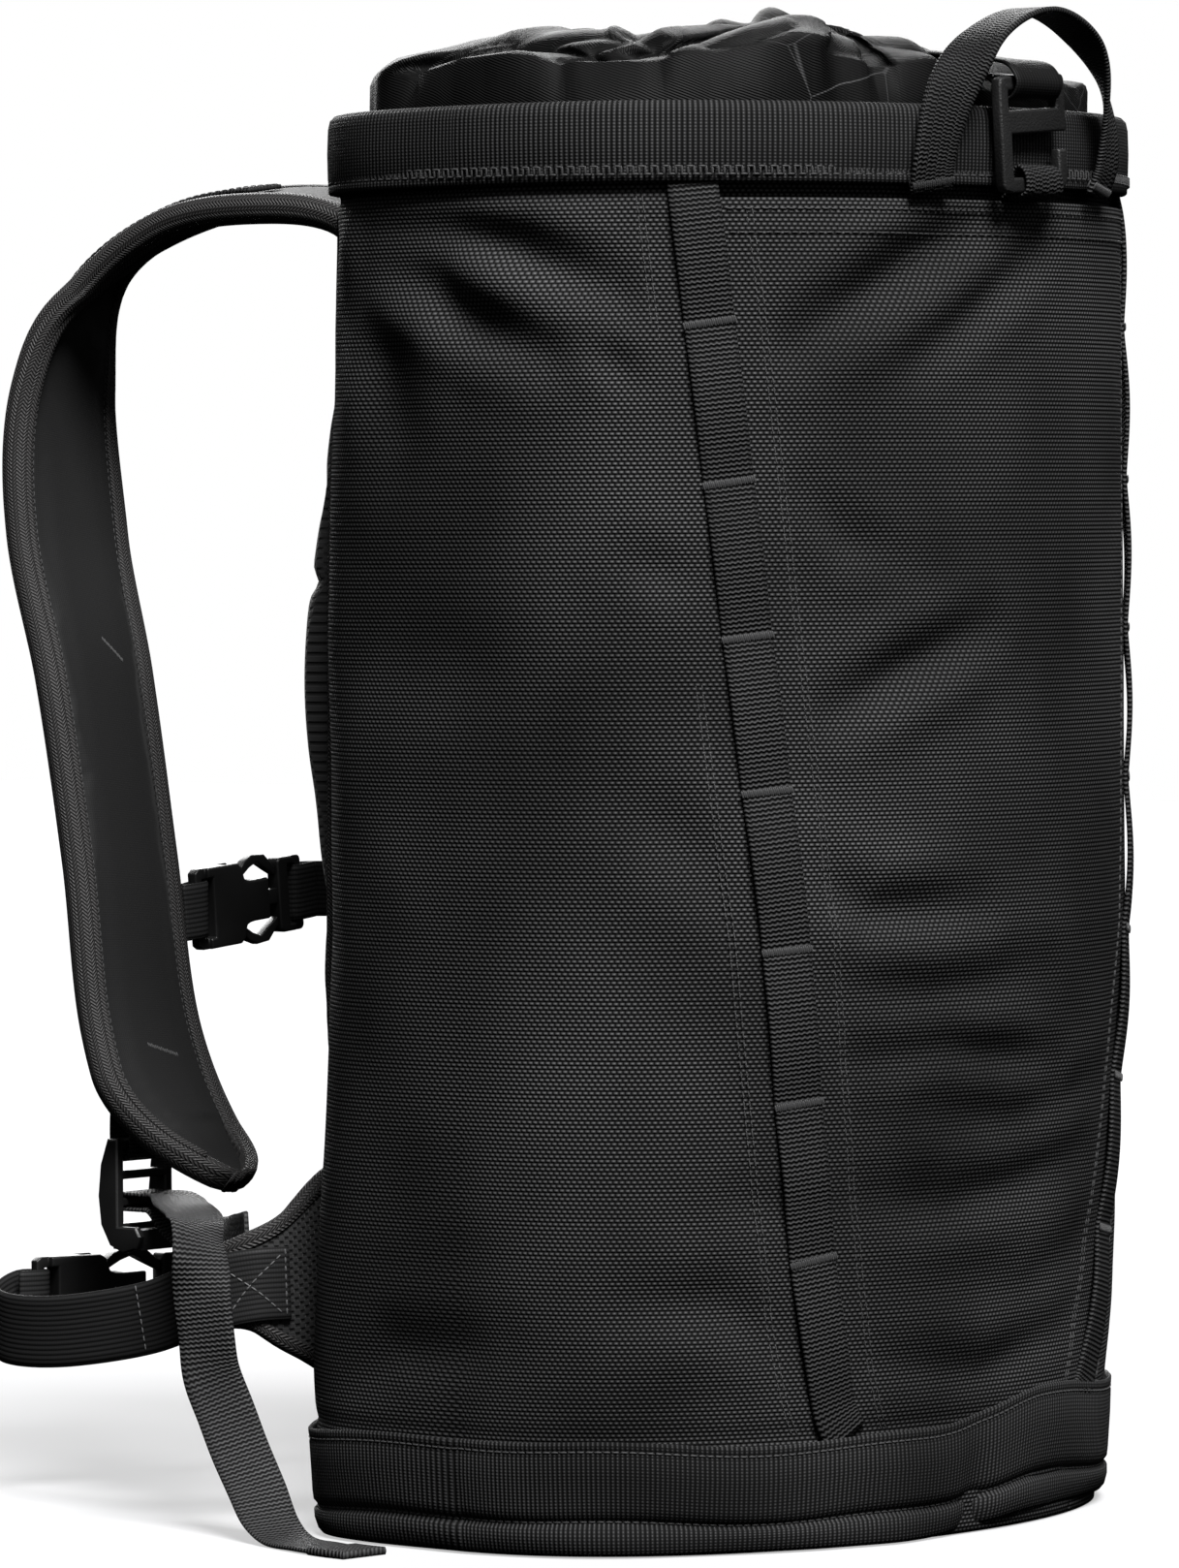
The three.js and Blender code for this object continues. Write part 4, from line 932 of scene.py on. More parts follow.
def bands():
    inside = -FABRIC - 0.8
    rim = [
        (2.0, SEAM_TOP, 26.5), (2.5, SEAM_TOP + 0.5, 26), (2.6, SEAM_TOP + 2.2, 24.2),
        (2.2, SEAM_TOP + 3.4, 23), (2.8, SEAM_TOP + 5, 21.4), (3.1, SEAM_TOP + 14, 12.5),
        (2.9, BAG_HEIGHT - 4.5, 4.5),
        (2.3, BAG_HEIGHT - 1.6, 1.6), (0.9, BAG_HEIGHT - 0.2, 0), (-1, BAG_HEIGHT + 0.2, -2),
        (-3.4, BAG_HEIGHT, -4.4), (-5.0, BAG_HEIGHT - 1.6, -6.4), (-5.4, BAG_HEIGHT - 4, -9),
        (-5.4, SEAM_TOP + 0.5, -31), (-4.6, SEAM_TOP, -31.5), (inside, SEAM_TOP + 0.6, -31),
        (inside + 0.2, PANEL_TOP - 1, -8), (inside + 0.6, PANEL_TOP + 0.8, -6), (0.2, PANEL_TOP + 0.8, -2),
        (0.4, PANEL_TOP - 1, 0), (0.6, SEAM_TOP, 26),
    ]
    ring_band("rim_band", rim, "rim_webbing", rim_kink)
    base = [
        (2.0, BASE_BAND, 0), (2.6, BASE_BAND - 0.6, 0.6), (2.7, BASE_BAND - 2.4, 2.4),
        (2.3, BASE_BAND - 3.4, 3.4), (2.9, BASE_BAND - 5, 5), (3.4, 26, 12), (3.2, 16, 22),
        (2.9, 13.4, 24.6), (2.0, 12.2, 25.8),
        (1.0, 11.3, 26.7), (1.9, 10.3, 27.7), (3.0, 9.2, 28.8), (3.3, 6, 32), (2.9, 2.2, 35.8),
        (1.9, 0.7, 37.4), (0.8, 0.6, 38), (0.8, 2, 38), (0.8, 12, 26), (0.8, 26, 12),
        (0.8, BASE_BAND - 0.6, 0.6),
    ]
    ring_band("base_band", base, "base_webbing", base_kink)


def band_seam(z, out, kink, pitch):
    """Stitches round the bag at a height, following the band's kinks."""
    angle = angle_at(np.linspace(girth(-1.5 * math.pi), girth(0.5 * math.pi), 700))
    push, raise_by = kink(angle, np.full(angle.shape, float(z)))
    path = skin(z, angle, out + push)
    path[:, 2] += raise_by
    return seam_row(path, outward(z, angle), pitch)


def band_stitching():
    rows = [
        band_seam(BASE_BAND - 3.4, 2.5, base_kink, 2.9),
        band_seam(11.3, 1.4, base_kink, 2.9),
    ]
    stitches("band_lockstitch", rows, length=2.5, thick=0.65)
    pitch = 2.0
    place, along, normal = band_seam(SEAM_TOP + 4.2, 2.8, rim_kink, pitch)
    upright = np.tile([0, 0, 1.0], (len(place), 1))
    turn = np.where(np.arange(len(place)) % 2 == 0, 1.3, -1.3)[:, None] * upright
    joins = place + along * pitch * 0.35 + turn
    stitches("rim_square_stitches", [(place, upright, normal)], length=3.2, thick=0.75)
    stitches("rim_square_joins", [(joins, along, normal)], length=pitch + 0.6, thick=0.75)


def floor_cloth():
    angle = angle_at(np.linspace(girth(0.0), girth(2 * math.pi), 180, endpoint=False))
    inset = POCKET_DEPTH + FABRIC + 1
    top, bottom = skin(3, angle, -inset), skin(0, angle, -inset)
    count = len(angle)
    faces = [tuple(range(count)), tuple(range(2 * count - 1, count - 1, -1))]
    faces += [(i, i + count, (i + 1) % count + count, (i + 1) % count) for i in range(count)]
    points = np.vstack([top, bottom])
    make_piece("floor_cloth", points, faces, points, NYLON, "ballistic_nylon", stands_for=["floor_panel"])


TACK_TOP, TACK_PITCH, TACK_COUNT = 407, 51.6, 7


def seam_line(side, z, shift=0.0):
    """Angle of a daisy chain's seam, or of a line `shift` mm from it round the bag."""
    middle = -front_seam(z) if side > 0 else -math.pi + front_seam(z)
    return angle_at(girth(middle) + shift)


def daisy_chain(side, word):
    z = np.linspace(BASE_BAND - 0.5, SEAM_TOP + 1.5, 60)
    middle = seam_line(side, z)
    low = cloth_out(middle, z)
    at, normal = skin(z, middle, low), outward(z, middle)
    route = Route(at, np.cross(normal, unit(np.gradient(at, axis=0))), 1.6)
    rise = 1.5 * np.abs(np.sin(math.pi * (TACK_TOP - route.at[:, 2]) / TACK_PITCH)) ** 1.2
    half = CHAIN_WEB / 2
    across = np.concatenate([[-half], np.linspace(-half + 0.4, half - 0.4, 9), [half]])
    sag = across**2 / 260
    edge = np.where(np.abs(across) > half - 0.1, 0.35, 1.0)
    face = [route.offset(x, 0.75 + rise + 0.8 * e - s) for x, s, e in zip(across, sag, edge)]
    back = [route.offset(x, 0.75 + rise - 0.8 * e - s) for x, s, e in zip(across, sag, edge)]
    rings = np.stack([*face, *back[::-1]], axis=1)
    weave = weave_rings(np.concatenate([across, across[::-1]]) + half, route)
    loft(f"daisy_chain_{word}_webbing", rings, weave, DAISY_WEB, "webbing",
         stands_for=[f"daisy_chain_{word}"])
    tacks = []
    for k in range(TACK_COUNT):
        i = int(np.argmin(np.abs(route.at[:, 2] - (TACK_TOP - k * TACK_PITCH))))
        lean = 0.03 * math.sin(5.1 * k + side)
        tacks.append(tack_on(route, i, 1.65, 17, 26, lean=lean))
    stitches(f"daisy_tacks_{word}", tacks, length=2.7, thick=0.85)
    rows = []
    for shift in (-19, -17, 17, 19):
        heights = np.linspace(BASE_BAND + 1, POCKET_TOP - 1 if shift * side < 0 else SEAM_TOP - 1, 220)
        line = seam_line(side, heights, shift)
        path = skin(heights, line, cloth_out(line, heights))
        rows.append(seam_row(path, outward(heights, line), 3.3, 0.05))
    stitches(f"daisy_seams_{word}", rows, length=2.4, thick=0.5, slot="ballistic_nylon")


def pocket_hem():
    rows = []
    for drop in (3.6, 11.5):
        z = POCKET_TOP - drop
        ends = [girth(-math.pi + front_seam(z)) + 10, girth(-front_seam(z)) - 10]
        angle = angle_at(np.linspace(*ends, 200))
        heights = np.full(angle.shape, z)
        path = skin(heights, angle, cloth_out(angle, heights) + 0.5)
        rows.append(seam_row(path, outward(heights, angle), 3.0))
    stitches("pocket_hem_stitches", rows, length=2.3, thick=0.55, slot="ballistic_nylon")


bag_cloth()
bands()
band_stitching()
floor_cloth()
for side, word in SIDES:
    daisy_chain(side, word)
pocket_hem()


# ---- Padded pieces: blown up a little by a cloth simulation ----


INFLATE_FRAMES = 20
INFLATE_PRESSURE = 4.0


def inflate(obj, voxel, cap):
    """Remeshes a pad, lets pressure round it off as cloth, and limits how far it moves."""
    view = bpy.context.view_layer
    for other in bpy.context.selected_objects:
        other.select_set(False)
    obj.select_set(True)
    view.objects.active = obj
    obj.data.attributes.remove(obj.data.attributes["weave"])
    obj.data.remesh_voxel_size = voxel * MM
    bpy.ops.object.voxel_remesh()
    count = len(obj.data.vertices)
    before = np.empty(count * 3)
    obj.data.vertices.foreach_get("co", before)
    cloth = obj.modifiers.new("cloth", "CLOTH")
    cloth.settings.use_pressure = True
    cloth.settings.uniform_pressure_force = INFLATE_PRESSURE
    cloth.settings.effector_weights.gravity = 0
    cloth.settings.tension_stiffness = 30
    cloth.settings.compression_stiffness = 30
    cloth.point_cache.frame_start = 1
    cloth.point_cache.frame_end = INFLATE_FRAMES
    scene = bpy.context.scene
    for frame_number in range(1, INFLATE_FRAMES + 1):
        scene.frame_set(frame_number)
    shaped = obj.evaluated_get(bpy.context.evaluated_depsgraph_get())
    after = np.empty(count * 3)
    shaped.data.vertices.foreach_get("co", after)
    move = (after - before).reshape(-1, 3)
    far = np.linalg.norm(move, axis=1, keepdims=True)
    move *= np.minimum(1, cap * MM / np.maximum(far, 1e-9))
    obj.modifiers.remove(cloth)
    obj.data.vertices.foreach_set("co", before + move.ravel())
    scene.frame_set(1)
    smooth = obj.modifiers.new("smooth", "SUBSURF")
    smooth.levels = 1
    bpy.ops.object.modifier_apply(modifier=smooth.name)
    obj.data.polygons.foreach_set("use_smooth", [True] * len(obj.data.polygons))


def vertices(obj):
    points = np.empty(len(obj.data.vertices) * 3)
    obj.data.vertices.foreach_get("co", points)
    return points.reshape(-1, 3) / MM


def nearest_on(route, points):
    """The route's sample nearest to each point, and the point's place across and out of it."""
    nearest = np.empty(len(points), int)
    for start in range(0, len(points), 4000):
        chunk = points[start : start + 4000, None] - route.at[None]
        nearest[start : start + 4000] = (chunk**2).sum(-1).argmin(1)
    gap = points - route.at[nearest]
    return nearest, (gap * route.wide[nearest]).sum(1), (gap * route.normal[nearest]).sum(1)


def weave_along(obj, route):
    """Gives a remeshed pad the weave of cloth that runs along its route."""
    points = vertices(obj)
    nearest, side, _ = nearest_on(route, points)
    ahead = ((points - route.at[nearest]) * route.tangent[nearest]).sum(1)
    set_weave(obj.data, np.stack([side, route.s[nearest] + ahead, 0 * side], 1))


PAD_LOW, PAD_HIGH, PAD_HALF = 132, 402, 112
PAD_SWELL, PAD_SWELL_Z = 9, 290
PAD_CHANNELS = (212, 322)


def back_wall(x, z):
    """How far behind the middle the back panel is, at a place across it and a height."""
    half, back, square = station(z, HALF, BACK, SQUARE)
    return back * (1 - np.clip(np.abs(x) / half, 0, 0.98) ** square) ** (1 / square)


def back_pad():
    share = np.linspace(0, 1, 56)
    u = np.linspace(-1, 1, 45)
    v = share[:, None]
    z = PAD_LOW + (PAD_HIGH - PAD_LOW) * v
    half = PAD_HALF * (1 - 0.1 * (2 * v - 1) ** 6) - 2
    x = u[None] * half
    wall = back_wall(x, z) + 1.2
    swell = PAD_SWELL * np.exp(-(((z - PAD_SWELL_Z) / 55) ** 2))
    crown = 3 + swell + 7 * (1 - np.abs(u) ** 6) * (1 - np.abs(2 * v - 1) ** 6) + 3 * np.abs(u) ** 3
    zz = np.broadcast_to(z, x.shape)
    face = np.stack([x, wall + crown - 1.5, zz], -1)
    edge = np.stack([x, wall, zz], -1)
    rings = np.concatenate([face, edge[:, ::-1]], axis=1)
    pad = loft("back_pad_cushion", rings, rings * 0, MESH, "spacer_mesh", stands_for=["back_pad"])
    inflate(pad, 5, 5)
    points = vertices(pad)
    x, y, z = points.T
    wall = back_wall(x, z) + 1.2
    middle = np.exp(-((x / 7) ** 2))
    across = sum(np.exp(-(((z - level) / 3.5) ** 2)) for level in PAD_CHANNELS)
    groove = 3.2 * np.maximum(middle, across * (np.abs(x) > 12)) * smoothstep(y - wall, 3, 7)
    points[:, 1] = np.maximum(y - groove, wall - 0.6)
    pad.data.vertices.foreach_set("co", (points * MM).ravel())
    set_weave(pad.data, np.stack([x, z, 0 * x], 1))
    outline = []
    for t in np.linspace(0, 2 * math.pi, 61)[:-1]:
        cu, cv = np.cos(t), np.sin(t)
        a = np.sign(cu) * abs(cu) ** 0.28
        b = 0.5 + 0.5 * np.sign(cv) * abs(cv) ** 0.28
        level = PAD_LOW + (PAD_HIGH - PAD_LOW) * b
        px = a * PAD_HALF * (1 - 0.1 * (2 * b - 1) ** 6)
        outline.append((px, back_wall(px, level) + 2.6, level))
    outline.append(outline[0])
    route = Route(outline, (0, 1, 0), 3)
    tube("back_pad_binding", route, 1.6, 1.8, BINDING, "webbing", sides=10)


# ---- Collar and its drawcord ----

COLLAR_CENTRE_Y = 2
MOUTH_SCALE = 0.19
# Height of the collar's top against the distance to the right as it is seen from the front left.
RIDGE = np.array(
    [(-138, 484), (-130, 485), (-112, 497), (-92, 502), (-77, 505), (-52, 506), (-39, 505), (-32, 501.5),
     (-24, 504.5), (-4, 507), (14, 513), (34, 509), (53, 504.5), (76, 501.5), (99, 492), (130, 484)],
    float,
)


def collar_height(share, angle, x, y):
    """A crumpled dome, held down where the top strap crosses it."""
    lateral = 0.6388 * x - 0.7693 * y
    ridge = np.interp(lateral, RIDGE[:, 0], RIDGE[:, 1]) - 484
    nearest = np.clip(np.abs(lateral + 5) / 131, 0.55, 0.93)
    dome = np.sqrt(np.maximum(0.02, 1 - ((share - 0.55) / 0.41) ** 2))
    reach = np.sqrt(1 - ((nearest - 0.55) / 0.41) ** 2)
    pleats = 2.2 * np.sin(17 * angle + 1.5 * np.sin(3 * angle)) + 1.5 * np.sin(29 * angle + 2)
    deep = smoothstep(0.75 - share, 0, 0.5)
    height = 484 + ridge * dome / reach + pleats * deep * smoothstep(share, 0.16, 0.26)
    under = 498.0 - 14 * smoothstep(share, 0.75, 0.94)
    pressed = 1 - smoothstep(np.abs(x), 14, 34)
    return height + (np.minimum(height, under) - height) * pressed


def folds_at(points, scale, shift):
    """Soft lobes with sharp valleys between them, from 0 to about 1."""
    levels = [abs(noise.noise(Vector(point) * scale + Vector(shift))) for point in points]
    return np.array([min(1.0, 2.6 * level) ** 0.75 for level in levels])


def collar():
    angle = np.linspace(0, 2 * math.pi, 360, endpoint=False)[:, None]
    wall = np.array([456, 462, 468, 474, 479], float)
    share = np.concatenate([np.full(len(wall), 0.92), np.linspace(0.92, MOUTH_SCALE, 62)[1:]])[None]
    rim = skin(BAG_HEIGHT, angle, 0.0)
    x = rim[..., 0] * share
    y = (rim[..., 1] - COLLAR_CENTRE_Y) * share + COLLAR_CENTRE_Y
    z = collar_height(share, angle, x, y)
    z[:, : len(wall)] = wall
    z[:, len(wall) :] = np.maximum(z[:, len(wall) :], 480)
    top = np.stack([x, y, z], -1)
    lean = 1.3 * (top[..., 2:] - 484) * np.stack([np.sin(angle), -np.cos(angle), 0 * angle], -1)
    plain = (top * (1, 1, 1.6) + lean).reshape(-1, 3)
    broad = folds_at(plain, 0.0145, (3, 8, 1)).reshape(x.shape)
    narrow = folds_at(plain, 0.036, (7, 2, 5)).reshape(x.shape)
    free = smoothstep(share, MOUTH_SCALE, 0.3) * smoothstep(0.935 - share, 0, 0.05)
    calm = 0.4 + 0.6 * smoothstep(np.abs(x), 14, 30)
    fall = (8.5 * (0.68 - broad) + 2.8 * (0.6 - narrow)) * free * calm
    outward = np.stack([np.cos(angle), np.sin(angle), 0 * angle], -1)
    top[..., 2] -= fall * 0.8
    top -= outward * (fall * smoothstep(share, 0.45, 0.8))[..., None]
    around = np.stack([-np.sin(angle), np.cos(angle), 0 * angle], -1)
    top += around * (3.0 * np.sin(9 * broad + 4 * angle) * free)[..., None]
    normal = unit(np.cross(np.gradient(top, axis=0), np.gradient(top, axis=1)))
    normal *= np.sign(normal[..., 2].mean())
    under = top - normal * 1.1
    under[:, : len(wall)] = top[:, : len(wall)] - outward * 1.1
    rings = np.concatenate([top, under[:, ::-1]], axis=1)
    run = np.cumsum(np.linalg.norm(np.diff(top, axis=1, prepend=top[:, :1]), axis=2), axis=1)
    cloth = np.stack([np.broadcast_to(girth(angle), run.shape), run, 0 * run], -1)
    weave = np.concatenate([cloth, cloth[:, ::-1]], axis=1)
    piece = loft("collar_cloth", rings, weave, SHELL, "collar_cloth", closed=True, stands_for=["collar"])


CORD = 3.0
LOCK_Y, LOCK_Z, STRAND = COLLAR_CENTRE_Y, 468.0, 1.8


def drawcord():
    turn = np.linspace(0, 2 * math.pi, 73)
    ring = [(25.24 * math.cos(t), COLLAR_CENTRE_Y + 20.49 * math.sin(t), 489) for t in turn]
    tube("drawcord_ring_cord", Route(ring, (0, 0, 1), 1.5), CORD / 2, CORD / 2, BRAID, "drawcord", 10,
         stands_for=["drawcord_ring"])
    near = [(-16.5, 485), (-15.5, 476), (-12, LOCK_Z), (0, LOCK_Z), (11, LOCK_Z)]
    one = [(-STRAND, LOCK_Y + y, z) for y, z in near]
    other = [(STRAND, LOCK_Y + y, z) for y, z in near[::-1]]
    path = [*one, (0, LOCK_Y + 17, LOCK_Z - 1), *other]
    across = [(1, 0, 0)] * 5 + [(0, -1, 0)] + [(-1, 0, 0)] * 5
    route = Route(path, across, 1.2)
    tail = tube("drawcord_tail_cord", route, CORD / 2 - 0.05, CORD / 2 - 0.05, BRAID, "drawcord", 10,
                stands_for=["drawcord_tail"])


# ---- Front: haul loop, keeper, hook and top strap ----

RIM_FRONT = 123.9
HOOK_Y = -RIM_FRONT - 4.3
HOOK_LOW = 451.5
HOOK_SLOT_X = -4.2


def haul_loop():
    left = [
        (-46, -119.2, SEAM_TOP - 2.6),
        (-48, -122.4, SEAM_TOP + 8),
        (-43, -125.5, SEAM_TOP + 30),
        (-27, -128, 503),
    ]
    right = [(-x, y, z) for x, y, z in left][::-1]
    twist = [(-1, 0.27, 0), (-1, 0.27, 0), (-0.85, 0.6, 0), (-0.35, 1, -0.1)]
    mirrored = [(-x, y, z) for x, y, z in twist][::-1]
    route = Route([*left, (0, -129, 512), *right], [*twist, (0, 1, 0), *mirrored], 1.5)
    ribbon("haul_loop_webbing", route, CHAIN_WEB, 2.0, LOOP_WEB, body="haul_loop", stands_for=["haul_loop"])
    rows = []
    for i, ahead in ((2, 1), (-3, -1)):
        rows += [tack_on(route, i, out, 16, 22, ahead) for out in (1.15, -1.15)]
    stitches("haul_loop_tacks", rows, body="haul_loop", length=3.0, thick=0.8)


def keeper_loop():
    path = [
        (-120.6, POCKET_TOP + 0.5),
        (-123.2, POCKET_TOP + 2.4),
        (HOOK_Y + 3, POCKET_TOP + 5.6),
        (HOOK_Y + 3, HOOK_LOW + 5.6),
        (HOOK_Y, HOOK_LOW + 8.4),
        (HOOK_Y - 3.1, HOOK_LOW + 5.6),
        (HOOK_Y - 3.1, HOOK_LOW - 0.4),
        (-123.4, POCKET_TOP + 0.5),
    ]
    route = Route([(0, y, z) for y, z in path], (1, 0, 0), 1.2)
    ribbon("keeper_webbing", route, NARROW_WEB, 1.2, LOOP_WEB, stands_for=["keeper_loop"])


def top_strap():
    bar_y, bar_z = HOOK_Y, HOOK_LOW + 36.5
    path = [
        (0, 103.2, 438),
        (0, 104.6, 450),
        (0, 106.2, 462),
        (0, 106, 476),
        (0, 101, 486),
        (0, 84, 497),
        (0, 50, 502),
        (0, 0, 503),
        (-1, -50, 502.5),
        (-3, -90, 499),
        (HOOK_SLOT_X, -114, 496),
        (HOOK_SLOT_X, bar_y - 0.4, bar_z + 5.6),
        (HOOK_SLOT_X, bar_y - 4.6, bar_z + 0.4),
        (HOOK_SLOT_X, bar_y - 4.6, bar_z - 2),
        (HOOK_SLOT_X, bar_y - 1.6, bar_z - 5.8),
        (HOOK_SLOT_X, bar_y + 1.4, bar_z - 5.4),
        (HOOK_SLOT_X, bar_y + 4, bar_z - 3.6),
        (HOOK_SLOT_X, bar_y + 6.4, bar_z + 0.6),
        (HOOK_SLOT_X, -112, 491),
    ]
    route = Route(path, (1, 0, 0), 1.5)
    ribbon("top_strap_webbing", route, WIDE_WEB, 1.3, SMOOTH_WEB, stands_for=["top_strap"])


def polish(node, material, body="bag", width=0.5):
    """A copy of a moulded frame piece with its edges rounded over."""
    source = bpy.data.objects[node]
    mesh = source.data.copy()
    mesh.name = f"{node}_moulding"
    mesh.materials.clear()
    shape = bmesh.new()
    shape.from_mesh(mesh)
    bmesh.ops.remove_doubles(shape, verts=shape.verts, dist=1e-5)
    bmesh.ops.dissolve_limit(shape, angle_limit=math.radians(2), verts=shape.verts, edges=shape.edges)
    shape.to_mesh(mesh)
    shape.free()
    piece = new_object(f"{node}_moulding", mesh, material, body)
    bevel = piece.modifiers.new("bevel", "BEVEL")
    bevel.width = width * MM
    bevel.segments = 3
    bevel.limit_method = "ANGLE"
    bevel.angle_limit = math.radians(30)
    bevel.harden_normals = False
    triangles = piece.modifiers.new("triangles", "TRIANGULATE")
    triangles.keep_custom_normals = True
    depsgraph = bpy.context.evaluated_depsgraph_get()
    shaped = bpy.data.meshes.new_from_object(piece.evaluated_get(depsgraph))
    piece.modifiers.clear()
    piece.data = shaped
    shaped.polygons.foreach_set("use_smooth", [True] * len(shaped.polygons))
    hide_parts(node)
    return piece


# ---- Shoulder straps ----

STRAP_WIDTH, STRAP_PAD = 54, 8
STRAP_ROOT = [(44, 107.5, 434), (47, 122, 448)]
STRAP_BOW = {
    LEFT: [
        (51, 158, 454.5), (55, 204, 450), (62, 243, 427), (69, 252, 391), (77, 244, 340), (86, 223, 288),
    ],
    RIGHT: [
        (58, 154, 457), (76, 199, 454), (100, 230, 430), (111, 238, 391), (104, 233, 340), (95, 220, 288),
    ],
}
STRAP_END = [(92, 206, 225), (96, 193, 166), (99, 175, 133), (102, 154, 114)]
# How a strap's breadth turns at each of those points: in degrees towards the back, and its rise.
STRAP_TURN = [
    (0, 0), (0, 0), (4, 0.08), (12, 0.15), (18, 0.3), (10, 0.15),
    (2, 0), (4, 0), (5, 0), (3, 0), (0, 0), (0, 0),
]
# The face webbing's start, end and the stretch where it is sewn down, as shares of the strap.
FACE_WEB_FROM, FACE_WEB_TO = 4 / 28, 22 / 28
SEWN_FROM, SEWN_TO = 8 / 28, 18 / 28


def strap_route(side):
    path = [*STRAP_ROOT, *STRAP_BOW[side], *STRAP_END]
    breadths = [
        (math.cos(math.radians(turn)), -side * math.sin(math.radians(turn)), -side * rise)
        for turn, rise in STRAP_TURN
    ]
    return Route([(side * x, y, z) for x, y, z in path], breadths, 2.0)


def strap_edges(share):
    """Half widths towards the bag's middle and away from it. The tip is round and lies inward."""
    root = 24 + (STRAP_WIDTH / 2 - 24) * smoothstep(share, 0, 0.12)
    tip = 1 - np.sqrt(1 - np.clip((share - 0.955) / 0.045, 0, 1) ** 2)
    inner = root - 15 * tip
    outer = root * (1 - 0.95 * smoothstep(share, 0.9, 1.02)) - 12 * tip
    return inner, outer


def strap_pad(side, word, route):
    inner, outer = strap_edges(route.share)
    low, high = (-outer, inner) if side < 0 else (-inner, outer)
    h = STRAP_PAD / 2 - 0.9
    section = []
    for t in np.linspace(0, 1, 17):
        edge = 1 - (2 * t - 1) ** 4
        section.append((low + (high - low) * t, h * (0.62 + 0.38 * edge)))
    top = [route.offset(x, z) for x, z in section]
    bottom = [route.offset(x, -z) for x, z in section[::-1]]
    pad = loft(f"shoulder_pad_{word}", np.stack([*top, *bottom], 1), (0, 0, 0), FACE, "strap_face",
               stands_for=[f"shoulder_strap_{word}"])
    inflate(pad, 4, 2.5)
    points = vertices(pad)
    nearest, side_place, out = nearest_on(route, points)
    inset = np.minimum(side_place - low[nearest], high[nearest] - side_place)
    limit = STRAP_PAD / 2 + 0.1 + 1.4 * smoothstep(inset, 6, 17)
    points += route.normal[nearest] * (np.clip(out, -limit, limit) - out)[:, None]
    pad.data.vertices.foreach_set("co", (points * MM).ravel())
    weave_along(pad, route)
    return pad


def edge_binding(name, route, edge, outward, half, fold=5.5):
    """Tape folded over the edge of a pad. `edge` is the edge's place across the route."""
    ridges = [(-fold, 0.35), (-fold + 0.4, 1.0), (-3.6, 1.3), (-2.4, 0.95), (-1.2, 1.15), (0.4, 0.8)]
    upper = [(x, half * 0.94 + lift * 0.9) for x, lift in ridges]
    lower = [(x, -z) for x, z in upper[::-1]]
    nose = [(1.5, half * 0.55), (1.9, 0), (1.5, -half * 0.55)]
    ring = [*upper, *nose, *lower, (-fold + 0.2, 0)]
    rings = np.stack([route.offset(edge + outward * x, z) for x, z in ring], 1)
    length = np.concatenate([[0], np.cumsum([math.dist(a, b) for a, b in zip(ring, ring[1:])])])
    return loft(name, rings, weave_rings(length, route), BINDING, "webbing")


def strap_tape(side, word, route):
    """Bindings down both edges, and a second cord of piping along the outer one."""
    inner, outer = strap_edges(route.share)
    half = STRAP_PAD / 2
    edge_binding(f"strap_binding_outer_{word}", route, side * outer, side, half)
    edge_binding(f"strap_binding_inner_{word}", route, -side * inner, -side, half)
    face = 1 if route.normal[len(route.s) // 2][1] < 0 else -1
    rows = []
    for edge, outward in ((side * outer, side), (-side * inner, -side)):
        for towards in (1, -1):
            path = route.offset(edge - outward * 6.6, towards * (half + 0.05))
            keep = slice(2, -6)
            rows.append(seam_row(path[keep], route.normal[keep] * towards, 2.8, 0.05))
    stitches(f"strap_edge_seams_{word}", rows, length=2.0, thick=0.45)
    piped = route.offset(side * (outer - 3.2), face * (half + 0.8))
    keep = route.share < 0.985
    cord = Route(piped[keep], (1, 0, 0), 3)
    tube(f"strap_piping_{word}", cord, 1.7, 1.3, BINDING, "webbing", sides=10)


def strap_webbing(word, route):
    away = -1 if route.normal[int(len(route.s) * SEWN_FROM)][1] < 0 else 1
    keep = (route.share >= FACE_WEB_FROM) & (route.share <= FACE_WEB_TO)
    sewn_down = smoothstep(route.share, FACE_WEB_FROM, SEWN_FROM)
    sewn_down = sewn_down * (1 - smoothstep(route.share, SEWN_TO, FACE_WEB_TO))
    out = away * (STRAP_PAD / 2 + 1.3 + 1.1 * sewn_down)
    middle = Route(route.offset(0, out)[keep], route.wide[keep], 2)
    ribbon(f"strap_face_webbing_{word}", middle, NARROW_WEB, 1.6, STRAP_WEB,
           stands_for=[f"strap_webbing_{word}"])
    rows = [route_row(middle, x, away * 0.85, 3.2) for x in (-8.4, 8.4)]
    for share in (0.01, 0.33, 0.66, 0.99):
        i = min(int(share * len(middle.s)), len(middle.s) - 1)
        rows.append(tack_on(middle, i, away * 0.95, 18, 22))
    stitches(f"strap_webbing_seams_{word}", rows, length=2.4, thick=0.5)


def strap_root(side, word):
    """The patch that sews a strap's root to the back panel."""
    path = [
        (side * 44, 103.4, 408), (side * 44, 104.0, 424), (side * 44.5, 107, 436), (side * 46, 116, 445),
    ]
    patch = Route(path, (1, 0, 0), 1.5)
    ribbon(f"strap_root_{word}_webbing", patch, 50, 1.8, STRAP_WEB)
    rows = []
    for z in (411, 415):
        path = np.linspace((side * 44 - 23, 104.5, z), (side * 44 + 23, 104.5, z), 12)
        rows.append(seam_row(path, np.tile((0, 1.0, 0), (12, 1))))
    stitches(f"strap_root_stitches_{word}", rows, length=2.4, thick=0.5)


